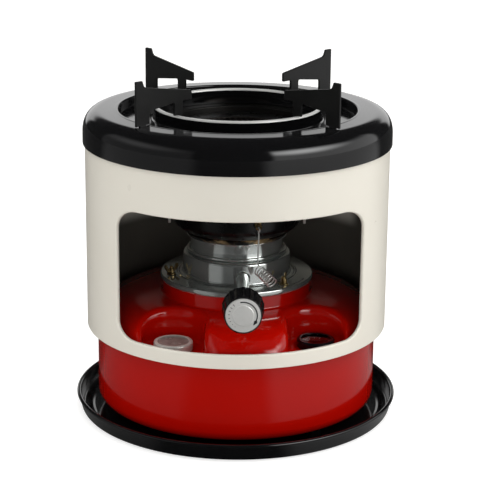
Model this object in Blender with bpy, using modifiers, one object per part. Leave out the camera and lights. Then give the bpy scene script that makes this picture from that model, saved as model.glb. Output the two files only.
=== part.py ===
"""Kerosene wick stove: tray, fuel tank, wick winder, lift-out burner, casing and pot rests."""
import math

import bmesh
import bpy
from mathutils import Matrix, Vector

# Fits and sheet thicknesses, in metres
GAP = 0.0003
RUNNING_GAP = 0.0001
OVERRUN = 0.0040
SHEET = 0.0010
CASING_SHEET = 0.0012

# Drip tray
TRAY_FLOOR_RADIUS = 0.1335
TRAY_RIM_RADIUS = 0.1403
TRAY_HEIGHT = 0.0150
TRAY_BEAD = 0.0017
TRAY_CORNER = 0.0030
TRAY_RIDGE_RADIUS = 0.1270
TRAY_RIDGE_WIDTH = 0.0040
TRAY_RIDGE_HEIGHT = 0.0012

# Fuel tank
TANK_RADIUS = 0.1210
TANK_BOTTOM = 0.0090
TANK_CORNER = 0.0090
SEAM_RADIUS = 0.1240
SEAM_HEIGHT = 0.0754
SEAM_LAYER = 0.0008
DOME_CREASE = 0.1050
DOME_EDGE_RADIUS = 0.0920
DOME_EDGE = 0.1028
NECK_RADIUS = 0.0646
NECK_TOP = 0.1190
NECK_FILLET = 0.0030
NECK_HOLE = 0.0445
FOOT_RADIUS = 0.0085
FOOT_CIRCLE = 0.0920
DRAFT_RADIUS = 0.0282
DRAFT_TOP = 0.1570

# Pockets pressed in the tank for the filler and the gauge
POCKET_FLOOR = 0.0780
POCKET_FLARE = 0.0060
POCKET_FILLET = 0.0030
FILLER_POCKET = 0.0260
GAUGE_POCKET = 0.0235
FILLER_X = -0.0521
FILLER_Y = -0.0837
GAUGE_X = 0.0667
GAUGE_Y = -0.0739

# Filler cap and neck
FILLER_CAP_RADIUS = 0.0164
FILLER_CAP_TOP = 0.0850
FILLER_CAP_EDGE = 0.0012
FILLER_CAP_DISH = 0.0010
FILLER_NECK_RADIUS = 0.0143
FILLER_NECK_WALL = 0.0016
FILLER_NECK_BOTTOM = 0.0700
FILLER_SEAL = 0.0008

# Fuel gauge
BEZEL_RADIUS = 0.0160
BEZEL_TOP = 0.0848
BEZEL_RING = 0.0026
LENS_THICKNESS = 0.0010
DIAL_THICKNESS = 0.0005
HOUSING_RADIUS = 0.0124
HOUSING_BOTTOM = 0.0660
NEEDLE_LENGTH = 0.0095
NEEDLE_WIDTH = 0.0012
NEEDLE_SPINDLE = 0.0007
PIVOT_HEIGHT = 0.0610
PIVOT_PIN = 0.0010
PIVOT_HUB = 0.0022
PIVOT_HUB_LENGTH = 0.0050
EAR_THICKNESS = 0.0012
EAR_WIDTH = 0.0050
FLOAT_ARM_LENGTH = 0.0520
FLOAT_ARM_WIRE = 0.0010
FLOAT_RADIUS = 0.0090
FLOAT_LENGTH = 0.0200
FLOAT_REST_DEGREES = -40.0
NEEDLE_REST_DEGREES = 70.0

# Wick collar, the plated winder body on the tank's neck
COLLAR_RIM_RADIUS = 0.0662
COLLAR_RIM_BOTTOM = 0.1167
COLLAR_TOP = 0.1215
COLLAR_RIM_CORNER = 0.0015
COLLAR_RADIUS = 0.0466
COLLAR_SHOULDER = 0.1405
COLLAR_CORNER = 0.0028
COLLAR_LIP_RADIUS = 0.0400
COLLAR_RIDGE_RADIUS = 0.0510
COLLAR_RIDGE_WIDTH = 0.0026
COLLAR_RIDGE_HEIGHT = 0.0009
GASKET_INNER = 0.0462
GASKET_OUTER = 0.0555

# Outer wick tube above the collar
TUBE_RADIUS = 0.0401
TUBE_WALL = 0.0009
TUBE_TOP = 0.1563
TUBE_FLANGE_RADIUS = 0.0515
TUBE_BEAD = 0.0016

# Studs, washers and wing nuts that clamp the collar
STUD_CIRCLE = 0.0580
STUD_RADIUS = 0.0016
STUD_TOP = 0.1290
WASHER_RADIUS = 0.0040
WASHER_THICKNESS = 0.0008
NUT_HUB_RADIUS = 0.0030
NUT_HUB_HEIGHT = 0.0038
NUT_SPAN = 0.0146
NUT_HEIGHT = 0.0076
NUT_WING_THICKNESS = 0.0016
NUT_AZIMUTHS = (-166.0, -46.0, 74.0)
NUT_TURNS = (25.0, 122.0, 10.0)

# Wick, its carrier and the rack
WICK_INNER = 0.0290
WICK_OUTER = 0.0330
WICK_BOTTOM = 0.0200
WICK_TOP = 0.1520
CARRIER_OUTER = 0.0346
CARRIER_WALL = 0.0011
CARRIER_BOTTOM = 0.0960
CARRIER_TOP = 0.1350
RACK_BOTTOM = 0.1000
RACK_TOP = 0.1345
RACK_BACK = 0.0036
RACK_FACE_RADIUS = 0.0384

# Winder shaft, pinion and knob
SHAFT_X = 0.0055
SHAFT_Z = 0.1282
SHAFT_RADIUS = 0.0020
PINION_PITCH_RADIUS = 0.0055
PINION_TEETH = 11
TOOTH_ADDENDUM = 0.0008
TOOTH_DEDENDUM = 0.0012
TOOTH_TIP_SHARE = 0.24
TOOTH_ROOT_SHARE = 0.56
SLEEVE_RADIUS = 0.0052
SLEEVE_NUT_RADIUS = 0.0070
SLEEVE_NUT_LENGTH = 0.0045
SLEEVE_END = 0.1165
KNOB_BACK = 0.1240
KNOB_FRONT = 0.1462
KNOB_BACK_RADIUS = 0.0175
KNOB_FRONT_RADIUS = 0.0154
KNOB_RIBS = 18
KNOB_RIB_DEPTH = 0.0009
KNOB_FACE_RADIUS = 0.0143
KNOB_FACE_DEPTH = 0.0018
KNOB_FACE_STEP = 0.0005
KNOB_FACE_INNER_SHARE = 0.58
KNOB_SHAFT_END = 0.1420

# Burner that lifts out of the collar
BURNER_BASE_RADIUS = 0.0490
BURNER_BASE_INNER = 0.0408
BURNER_BASE_HEIGHT = 0.0040
BOWL_LOW_RADIUS = 0.0460
BOWL_RADIUS = 0.0555
BOWL_CURVE_TOP = 0.1700
BOWL_RIM = 0.1820
BOWL_HOLE = 0.0362
BURNER_SHEET = 0.0010
DRUM_TOP = 0.2505
DRUM_SHOULDER = 0.0020
FLAME_RING_RADIUS = 0.0385
FLAME_RING_WALL = 0.0010
FLAME_CORE_RADIUS = 0.0279
FLAME_CORE_TOP = 0.2440
FLAME_HOLE_RADIUS = 0.0021
FLAME_HOLES = 6
FLAME_ROW_SHARES = (0.30, 0.78)
SPREADER_RADIUS = 0.0292
SPREADER_HEIGHT = 0.0050
SPREADER_CROWN = 0.0035
CROSS_PIN_RADIUS = 0.0013
CROSS_PIN_SHARE = 0.55

# Lifting handle and its bracket
HANDLE_AZIMUTH = -72.0
HANDLE_EYE_RADIUS = 0.0020
HANDLE_WIRE = 0.0006
HANDLE_DROP = 0.0290
HANDLE_OUT = 0.0025
HANDLE_ASIDE = 0.0015
HANDLE_PIVOT_RADIUS = 0.0592
HANDLE_PIVOT_HEIGHT = 0.1737
GRIP_RADIUS = 0.0042
GRIP_TURNS = 10
GRIP_PITCH = 0.0018
GRIP_STEPS = 9
GRIP_OFFSET = 0.0013
GRIP_DIRECTION_SHARES = (0.60, -0.70, -0.39)
BRACKET_WIDTH = 0.0056
BRACKET_HEIGHT = 0.0046
BRACKET_THICKNESS = 0.0010
BRACKET_RING = 0.0022
BRACKET_WIRE = 0.0008

# Inner shroud round the burner
SHROUD_RADIUS = 0.0583
SHROUD_FLANGE_RADIUS = 0.0720
SHROUD_WALL = 0.0008
SHROUD_BOTTOM = 0.1990
SHROUD_TAB_BOTTOM = 0.1725
SHROUD_TAB_WIDTH = 0.0040

# Casing
CASING_RADIUS = 0.1300
CASING_TOP = 0.2494
CASING_FLANGE_RADIUS = 0.1222
WINDOW_LEFT = -0.0984
WINDOW_RIGHT = 0.1044
WINDOW_BOTTOM = 0.0889
WINDOW_TOP = 0.1995
WINDOW_TOP_CORNER = 0.0175
WINDOW_BOTTOM_CORNER = 0.0140
WINDOW_LIP = 0.0028
LAP_WIDTH = 0.0100

# Top cap
CAP_RADIUS = 0.1318
CAP_SKIRT_BOTTOM = 0.2370
CAP_SHOULDER = 0.2449
CAP_RING_RADIUS = 0.1150
CAP_RING_EDGE = 0.2650
CAP_TOP = 0.2657
CAP_SHOULDER_POWER = 2.5
RECESS_RADIUS = 0.1014
RECESS_DEPTH = 0.0092
RECESS_CORNER = 0.0016
OPENING_RADIUS = 0.0696
OPENING_BEAD = 0.0018
OPENING_TOP = 0.2686

# Pot rests
REST_THICKNESS = 0.0020
REST_OVERHANG = 0.0010
REST_TIP_WIDTH = 0.0072
REST_NECK_SLANT = 0.0022
REST_NECK_WIDTH = 0.0051
REST_NOSE_LENGTH = 0.0098
REST_LEG_INWARD = 0.0053
REST_LEG_OUTWARD = 0.0044
REST_WINDOW_INSET = 0.0002
REST_TONGUE_INSET = 0.0036
REST_TONGUE_WIDTH = 0.0070
REST_TONGUE_DEPTH = 0.0067
REST_ARM_CLEARANCE = 0.0108
REST_WINDOW_RISE = 0.0035
REST_NOSE_STEP = 0.0005
REST_NOSE_HEIGHT = 0.0075
REST_NOSE_CHAMFER = 0.0012
REST_SLOPE_RISE = 0.0078
REST_NECK_RISE = 0.0022
REST_TIP_RISE = 0.0042
REST_AZIMUTHS = (45.0, 135.0, 225.0, 315.0)

# How finely round shapes are stepped
BIG_STEPS = 36
MID_STEPS = 28
SMALL_STEPS = 18
TINY_STEPS = 10

COLOURS = {
    "black_enamel": ((0.012, 0.012, 0.013), 0.18, 0.0),
    "red_enamel": ((0.42, 0.010, 0.008), 0.22, 0.0),
    "cream_enamel": ((0.76, 0.73, 0.64), 0.35, 0.0),
    "zinc_plate": ((0.55, 0.58, 0.58), 0.30, 1.0),
    "brass": ((0.62, 0.45, 0.17), 0.30, 1.0),
    "steel": ((0.50, 0.50, 0.50), 0.35, 1.0),
    "chrome": ((0.75, 0.75, 0.75), 0.12, 1.0),
    "black_plastic": ((0.015, 0.015, 0.015), 0.35, 0.0),
    "cotton": ((0.72, 0.68, 0.58), 0.95, 0.0),
    "rubber": ((0.03, 0.03, 0.03), 0.85, 0.0),
    "cork": ((0.45, 0.28, 0.14), 0.90, 0.0),
    "glass": ((0.85, 0.88, 0.88), 0.05, 0.0),
    "dial_face": ((0.70, 0.70, 0.66), 0.50, 0.0),
}


def clear_scene():
    for item in list(bpy.data.objects):
        bpy.data.objects.remove(item, do_unlink=True)


def add_collection(name):
    group = bpy.data.collections.new(name)
    bpy.context.scene.collection.children.link(group)
    return group


def material(name):
    found = bpy.data.materials.get(name)
    if found:
        return found
    colour, roughness, metallic = COLOURS[name]
    made = bpy.data.materials.new(name)
    made.use_nodes = True
    shader = made.node_tree.nodes["Principled BSDF"]
    shader.inputs["Base Color"].default_value = (*colour, 1.0)
    shader.inputs["Roughness"].default_value = roughness
    shader.inputs["Metallic"].default_value = metallic
    return made


clear_scene()
PARTS = add_collection("kerosene_wick_stove")
CUTTERS = add_collection("cutters")


def place(item, finish=None):
    """Put an object among the parts, or among the cutters if it has no finish."""
    if finish is None:
        CUTTERS.objects.link(item)
        item.hide_render = True
        item.display_type = "WIRE"
    else:
        PARTS.objects.link(item)
        item.data.materials.append(material(finish))
    return item


def new_object(name, mesh, finish=None):
    return place(bpy.data.objects.new(name, mesh), finish)


def shade(item):
    for face in item.data.polygons:
        face.use_smooth = True
    item.data.set_sharp_from_angle(angle=math.radians(35))


def arc(centre_r, centre_z, radius, start, end, count):
    """Points on a circle arc, from one angle in degrees to the other."""
    points = []
    for index in range(count):
        angle = math.radians(start + (end - start) * index / (count - 1))
        points.append((centre_r + radius * math.cos(angle), centre_z + radius * math.sin(angle)))
    return points


def quarter(inner_r, outer_r, low_z, high_z, power, count):
    """Points of a rounded shoulder, from its inner top to its outer foot."""
    points = []
    for index in range(count):
        angle = math.pi / 2 * index / (count - 1)
        across = math.sin(angle) ** (2 / power)
        up = math.cos(angle) ** (2 / power) if index < count - 1 else 0.0
        points.append((inner_r + (outer_r - inner_r) * across, low_z + (high_z - low_z) * up))
    return points


def turned(name, profile, steps, finish=None, centre=(0.0, 0.0), closed=True):
    """Turn a profile of radius and height round the Z axis through centre."""
    area = 0.0
    for (r0, z0), (r1, z1) in zip(profile, profile[1:] + profile[:1]):
        area += r0 * z1 - r1 * z0
    points = list(profile) if area < 0 else list(reversed(profile))
    mesh = bpy.data.meshes.new(name)
    edges = [(i, i + 1) for i in range(len(points) - 1)]
    on_axis = [i for i, point in enumerate(points) if point[0] == 0.0]
    if on_axis:
        while not (points[0][0] == 0.0 and points[-1][0] == 0.0):
            points = points[1:] + points[:1]
    elif closed:
        edges.append((len(points) - 1, 0))
    mesh.from_pydata([(r, 0.0, z) for r, z in points], edges, [])
    item = new_object(name, mesh, finish)
    item.location = (centre[0], centre[1], 0.0)
    screw = item.modifiers.new("turn", "SCREW")
    screw.steps = steps
    screw.render_steps = steps
    screw.use_merge_vertices = True
    screw.merge_threshold = 0.00001
    screw.use_smooth_shade = True
    return item


def cylinder(name, radius, start, end, steps, finish=None, end_radius=None):
    """A straight rod or cone between two points."""
    start, end = Vector(start), Vector(end)
    shape = bmesh.new()
    bmesh.ops.create_cone(shape, cap_ends=True, segments=steps, radius1=radius,
                          radius2=radius if end_radius is None else end_radius,
                          depth=(end - start).length)
    mesh = bpy.data.meshes.new(name)
    shape.to_mesh(mesh)
    shape.free()
    item = new_object(name, mesh, finish)
    item.rotation_euler = (end - start).to_track_quat("Z", "Y").to_euler()
    item.location = (start + end) / 2
    shade(item)
    return item


def box(name, low, high, finish=None):
    shape = bmesh.new()
    bmesh.ops.create_cube(shape, size=1.0)
    low, high = Vector(low), Vector(high)
    scale = Matrix.Diagonal((high - low).to_4d())
    scale[3][3] = 1.0
    bmesh.ops.transform(shape, matrix=Matrix.Translation((low + high) / 2) @ scale, verts=shape.verts)
    mesh = bpy.data.meshes.new(name)
    shape.to_mesh(mesh)
    shape.free()
    return new_object(name, mesh, finish)


def solid_from_curve(curve_object, finish):
    """Turn a curve object into a closed mesh object with the same name and place."""
    bpy.context.view_layer.update()
    graph = bpy.context.evaluated_depsgraph_get()
    mesh = bpy.data.meshes.new_from_object(curve_object.evaluated_get(graph))
    shape = bmesh.new()
    shape.from_mesh(mesh)
    bmesh.ops.remove_doubles(shape, verts=shape.verts, dist=0.000001)
    bmesh.ops.recalc_face_normals(shape, faces=shape.faces)
    shape.to_mesh(mesh)
    shape.free()
    mesh.materials.clear()
    name = curve_object.name
    matrix = curve_object.matrix_world.copy()
    bpy.data.objects.remove(curve_object, do_unlink=True)
    item = new_object(name, mesh, finish)
    item.matrix_world = matrix
    shade(item)
    return item


def bore(radius):
    """The corner radius of a bore whose flats clear a shaft by the running gap."""
    return (radius + RUNNING_GAP) / math.cos(math.pi / TINY_STEPS)


def plate(name, outline, thickness, finish=None, holes=()):
    """A flat outline in the XY plane with an even thickness about it."""
    curve = bpy.data.curves.new(name, "CURVE")
    curve.dimensions = "2D"
    curve.fill_mode = "BOTH"
    curve.extrude = thickness / 2
    for loop in (outline, *holes):
        spline = curve.splines.new("POLY")
        spline.points.add(len(loop) - 1)
        for point, (x, y) in zip(spline.points, loop):
            point.co = (x, y, 0.0, 1.0)
        spline.use_cyclic_u = True
    curve_object = bpy.data.objects.new(name, curve)
    CUTTERS.objects.link(curve_object)
    return solid_from_curve(curve_object, finish)


def wire(name, points, radius, finish, resolution=1, cyclic=False):
    curve = bpy.data.curves.new(name, "CURVE")
    curve.dimensions = "3D"
    curve.bevel_depth = radius
    curve.bevel_resolution = resolution
    curve.use_fill_caps = not cyclic
    spline = curve.splines.new("POLY")
    spline.points.add(len(points) - 1)
    for point, place_at in zip(spline.points, points):
        point.co = (*place_at, 1.0)
    spline.use_cyclic_u = cyclic
    curve_object = bpy.data.objects.new(name, curve)
    CUTTERS.objects.link(curve_object)
    return solid_from_curve(curve_object, finish)


def boolean(item, other, operation):
    modifier = item.modifiers.new(operation.lower() + "_" + other.name, "BOOLEAN")
    modifier.object = other
    modifier.operation = operation
    modifier.solver = "EXACT"


def cut(item, *cutters):
    for cutter in cutters:
        boolean(item, cutter, "DIFFERENCE")


def fuse(item, *others):
    for other in others:
        boolean(item, other, "UNION")


def on_circle(radius, degrees, height=0.0):
    angle = math.radians(degrees)
    return Vector((radius * math.cos(angle), radius * math.sin(angle), height))


def gathered(name, items):
    """Gather several cutters in one."""
    bpy.context.view_layer.update()
    graph = bpy.context.evaluated_depsgraph_get()
    shape = bmesh.new()
    for item in items:
        mesh = bpy.data.meshes.new_from_object(item.evaluated_get(graph))
        mesh.transform(item.matrix_world)
        shape.from_mesh(mesh)
        bpy.data.meshes.remove(mesh)
    mesh = bpy.data.meshes.new(name)
    shape.to_mesh(mesh)
    shape.free()
    for item in items:
        bpy.data.objects.remove(item, do_unlink=True)
    return new_object(name, mesh)


def make_tray():
    bead_r = TRAY_RIM_RADIUS - TRAY_BEAD
    bead_z = TRAY_HEIGHT - TRAY_BEAD
    ridge_in = TRAY_RIDGE_RADIUS - TRAY_RIDGE_WIDTH / 2
    ridge_out = TRAY_RIDGE_RADIUS + TRAY_RIDGE_WIDTH / 2
    profile = arc(bead_r, bead_z, TRAY_BEAD, 205, -75, 7)
    profile += arc(TRAY_FLOOR_RADIUS, TRAY_CORNER, TRAY_CORNER, -20, -90, 3)
    profile += [(ridge_out, 0.0), (TRAY_RIDGE_RADIUS, TRAY_RIDGE_HEIGHT), (ridge_in, 0.0), (0.0, 0.0)]
    profile += [(0.0, SHEET), (ridge_in, SHEET), (TRAY_RIDGE_RADIUS, SHEET + TRAY_RIDGE_HEIGHT),
                (ridge_out, SHEET)]
    profile += arc(TRAY_FLOOR_RADIUS, TRAY_CORNER, TRAY_CORNER - SHEET, -90, -20, 3)
    turned("drip_tray", profile, BIG_STEPS, "black_enamel")


def make_tank_base():
    wall_r = TANK_RADIUS - SHEET
    hole = DRAFT_RADIUS + GAP
    corner_r = TANK_RADIUS - TANK_CORNER
    corner_z = TANK_BOTTOM + TANK_CORNER
    profile = [(SEAM_RADIUS, SEAM_HEIGHT), (SEAM_RADIUS, SEAM_HEIGHT - SEAM_LAYER),
               (TANK_RADIUS, SEAM_HEIGHT - SEAM_LAYER)]
    profile += arc(corner_r, corner_z, TANK_CORNER, 0, -90, 5)
    profile += [(hole, TANK_BOTTOM), (hole, TANK_BOTTOM + SHEET)]
    profile += arc(corner_r, corner_z, TANK_CORNER - SHEET, -90, 0, 5)
    profile += [(wall_r, SEAM_HEIGHT)]
    turned("tank_base", profile, BIG_STEPS, "red_enamel")
    for index in range(4):
        foot = on_circle(FOOT_CIRCLE, 45 + 90 * index)
        cylinder("tank_foot_%d" % (index + 1), FOOT_RADIUS, (foot.x, foot.y, SHEET + GAP),
                 (foot.x, foot.y, TANK_BOTTOM - GAP), TINY_STEPS, "rubber")
    tube = [(DRAFT_RADIUS, DRAFT_TOP), (DRAFT_RADIUS, TANK_BOTTOM),
            (DRAFT_RADIUS - SHEET, TANK_BOTTOM), (DRAFT_RADIUS - SHEET, DRAFT_TOP)]
    turned("draft_tube", tube, MID_STEPS, "steel")


def dome_profile(inset, low):
    """Half section of the tank's top, drawn in by a wall thickness."""
    crease = DOME_CREASE - inset
    neck = NECK_RADIUS - inset
    profile = [(0.0, NECK_TOP - inset), (neck, NECK_TOP - inset)]
    profile += [(neck, crease + NECK_FILLET), (neck + NECK_FILLET, crease)]
    profile += quarter(DOME_EDGE_RADIUS, TANK_RADIUS - inset, SEAM_HEIGHT + GAP + SEAM_LAYER,
                       DOME_EDGE - inset, 2.0, 6)
    profile += [(TANK_RADIUS - inset, low), (0.0, low)]
    return profile


def pocket_profile(radius, wall):
    """Half section of a pocket, grown by a wall thickness."""
    flare_z = DOME_CREASE - POCKET_FLARE
    fillet_r = radius - POCKET_FILLET
    profile = [(0.0, NECK_TOP), (radius + POCKET_FLARE, NECK_TOP)]
    profile += arc(radius + POCKET_FLARE, flare_z, POCKET_FLARE - wall, 90, 180, 3)
    profile += arc(fillet_r, POCKET_FLOOR + POCKET_FILLET, POCKET_FILLET + wall, 0, -90, 3)
    profile += [(0.0, POCKET_FLOOR - wall)]
    return profile


def make_tank_top():
    seam_low = SEAM_HEIGHT + GAP
    dome = turned("tank_top", dome_profile(0.0, seam_low), BIG_STEPS, "red_enamel")
    seam = turned("seam_flange", [(SEAM_RADIUS, seam_low + SEAM_LAYER), (SEAM_RADIUS, seam_low),
                                  (TANK_RADIUS - SHEET / 2, seam_low),
                                  (TANK_RADIUS - SHEET / 2, seam_low + SEAM_LAYER)], BIG_STEPS)
    void = turned("tank_void", dome_profile(SHEET, seam_low - OVERRUN), BIG_STEPS)
    pockets = ((FILLER_X, FILLER_Y, FILLER_POCKET, "filler"), (GAUGE_X, GAUGE_Y, GAUGE_POCKET, "gauge"))
    fuse(dome, seam)
    for x, y, radius, label in pockets:
        skin = turned(label + "_pocket_skin", pocket_profile(radius, SHEET), SMALL_STEPS, centre=(x, y))
        cut(void, skin)
        pocket = turned(label + "_pocket", pocket_profile(radius, 0.0), SMALL_STEPS, centre=(x, y))
        cut(dome, pocket)
    cut(dome, void)
    cut(dome, cylinder("neck_hole", NECK_HOLE, (0, 0, NECK_TOP - OVERRUN), (0, 0, NECK_TOP + OVERRUN),
                       MID_STEPS))
    for x, y, radius, label in ((FILLER_X, FILLER_Y, FILLER_NECK_RADIUS + GAP, "filler"),
                                (GAUGE_X, GAUGE_Y, HOUSING_RADIUS + GAP, "gauge")):
        cut(dome, cylinder(label + "_hole", radius, (x, y, POCKET_FLOOR - OVERRUN),
                           (x, y, POCKET_FLOOR + OVERRUN), SMALL_STEPS))


def make_filler():
    neck_top = FILLER_CAP_TOP - SHEET - FILLER_SEAL - FILLER_CAP_DISH - 2 * GAP
    inner = FILLER_NECK_RADIUS - FILLER_NECK_WALL
    neck = [(FILLER_NECK_RADIUS, neck_top), (FILLER_NECK_RADIUS, FILLER_NECK_BOTTOM),
            (inner, FILLER_NECK_BOTTOM), (inner, neck_top)]
    at = (FILLER_X, FILLER_Y)
    turned("filler_neck", neck, SMALL_STEPS, "zinc_plate", at)
    seal_low = neck_top + GAP
    seal = [(FILLER_NECK_RADIUS, seal_low + FILLER_SEAL), (FILLER_NECK_RADIUS, seal_low),
            (inner, seal_low), (inner, seal_low + FILLER_SEAL)]
    turned("filler_seal", seal, SMALL_STEPS, "rubber", at)
    wall_in = FILLER_NECK_RADIUS + GAP + GAP
    under = FILLER_CAP_TOP - SHEET - FILLER_CAP_DISH
    cap = [(0.0, FILLER_CAP_TOP - FILLER_CAP_DISH), (wall_in - SHEET, FILLER_CAP_TOP - FILLER_CAP_DISH),
           (wall_in, FILLER_CAP_TOP)]
    cap += arc(FILLER_CAP_RADIUS - FILLER_CAP_EDGE, FILLER_CAP_TOP - FILLER_CAP_EDGE, FILLER_CAP_EDGE,
               90, 0, 3)
    cap += [(FILLER_CAP_RADIUS, POCKET_FLOOR + GAP), (wall_in, POCKET_FLOOR + GAP), (wall_in, under),
            (0.0, under)]
    turned("filler_cap", cap, SMALL_STEPS, "chrome", at)


def make_gauge():
    at = (GAUGE_X, GAUGE_Y)
    dial_low = POCKET_FLOOR + SHEET + GAP
    seat = BEZEL_RADIUS - BEZEL_RING
    lens_low = BEZEL_TOP - SHEET - LENS_THICKNESS - GAP
    bezel = [(seat - SHEET, BEZEL_TOP), (BEZEL_RADIUS - SHEET, BEZEL_TOP),
             (BEZEL_RADIUS, BEZEL_TOP - SHEET), (BEZEL_RADIUS, POCKET_FLOOR + GAP),
             (seat, POCKET_FLOOR + GAP), (seat, BEZEL_TOP - SHEET), (seat - SHEET, BEZEL_TOP - SHEET)]
    turned("gauge_bezel", bezel, SMALL_STEPS, "chrome", at)
    edge = seat - GAP
    lens = [(0.0, lens_low + LENS_THICKNESS), (edge, lens_low + LENS_THICKNESS), (edge, lens_low),
            (0.0, lens_low)]
    turned("gauge_lens", lens, SMALL_STEPS, "glass", at)
    spindle_hole = NEEDLE_SPINDLE + RUNNING_GAP
    dial = [(edge, dial_low + DIAL_THICKNESS), (edge, dial_low), (spindle_hole, dial_low),
            (spindle_hole, dial_low + DIAL_THICKNESS)]
    turned("gauge_dial", dial, SMALL_STEPS, "dial_face", at)
    housing_top = dial_low - GAP
    wall = HOUSING_RADIUS - SHEET
    housing = turned("gauge_housing", [(HOUSING_RADIUS, housing_top), (HOUSING_RADIUS, HOUSING_BOTTOM),
                                       (spindle_hole, HOUSING_BOTTOM),
                                       (spindle_hole, HOUSING_BOTTOM + SHEET),
                                       (wall, HOUSING_BOTTOM + SHEET), (wall, housing_top)],
                     SMALL_STEPS, "zinc_plate", at)
    ear_in = PIVOT_HUB_LENGTH / 2 + GAP
    for side in (-1, 1):
        sides = sorted((side * ear_in, side * (ear_in + EAR_THICKNESS)))
        fuse(housing, box("ear", (GAUGE_X + sides[0], GAUGE_Y - EAR_WIDTH / 2, PIVOT_HEIGHT - EAR_WIDTH / 2),
                          (GAUGE_X + sides[1], GAUGE_Y + EAR_WIDTH / 2, HOUSING_BOTTOM + SHEET / 2)))
    pin_end = ear_in + EAR_THICKNESS + SHEET
    fuse(housing, cylinder("pivot_pin", PIVOT_PIN, (GAUGE_X - pin_end, GAUGE_Y, PIVOT_HEIGHT),
                           (GAUGE_X + pin_end, GAUGE_Y, PIVOT_HEIGHT), TINY_STEPS))
    needle_z = (dial_low + DIAL_THICKNESS + lens_low) / 2
    needle = plate("gauge_needle", [(-NEEDLE_WIDTH, -NEEDLE_WIDTH), (NEEDLE_WIDTH, -NEEDLE_WIDTH),
                                    (NEEDLE_WIDTH / 4, NEEDLE_LENGTH), (-NEEDLE_WIDTH / 4, NEEDLE_LENGTH)],
                   DIAL_THICKNESS, "steel")
    needle.location = (GAUGE_X, GAUGE_Y, needle_z)
    needle.rotation_euler = (0.0, 0.0, math.radians(NEEDLE_REST_DEGREES))
    spindle = cylinder("spindle", NEEDLE_SPINDLE, (GAUGE_X, GAUGE_Y, HOUSING_BOTTOM + SHEET / 2),
                       (GAUGE_X, GAUGE_Y, needle_z), TINY_STEPS)
    fuse(needle, spindle)
    tilt = math.radians(FLOAT_REST_DEGREES)
    pivot = Vector((GAUGE_X, GAUGE_Y, PIVOT_HEIGHT))
    along = Vector((0.0, math.cos(tilt), math.sin(tilt)))
    half_hub = Vector((PIVOT_HUB_LENGTH / 2, 0.0, 0.0))
    arm = cylinder("gauge_float_arm", FLOAT_ARM_WIRE, pivot, pivot + along * FLOAT_ARM_LENGTH,
                   TINY_STEPS, "steel")
    fuse(arm, cylinder("arm_hub", PIVOT_HUB, pivot - half_hub, pivot + half_hub, TINY_STEPS))
    cut(arm, cylinder("arm_bore", bore(PIVOT_PIN), pivot - half_hub * 2, pivot + half_hub * 2,
                      TINY_STEPS))
    half_float = Vector((FLOAT_LENGTH / 2, 0.0, 0.0))
    middle = pivot + along * (FLOAT_ARM_LENGTH + FLOAT_RADIUS + GAP)
    cylinder("gauge_float", FLOAT_RADIUS, middle - half_float, middle + half_float, SMALL_STEPS, "cork")


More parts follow.
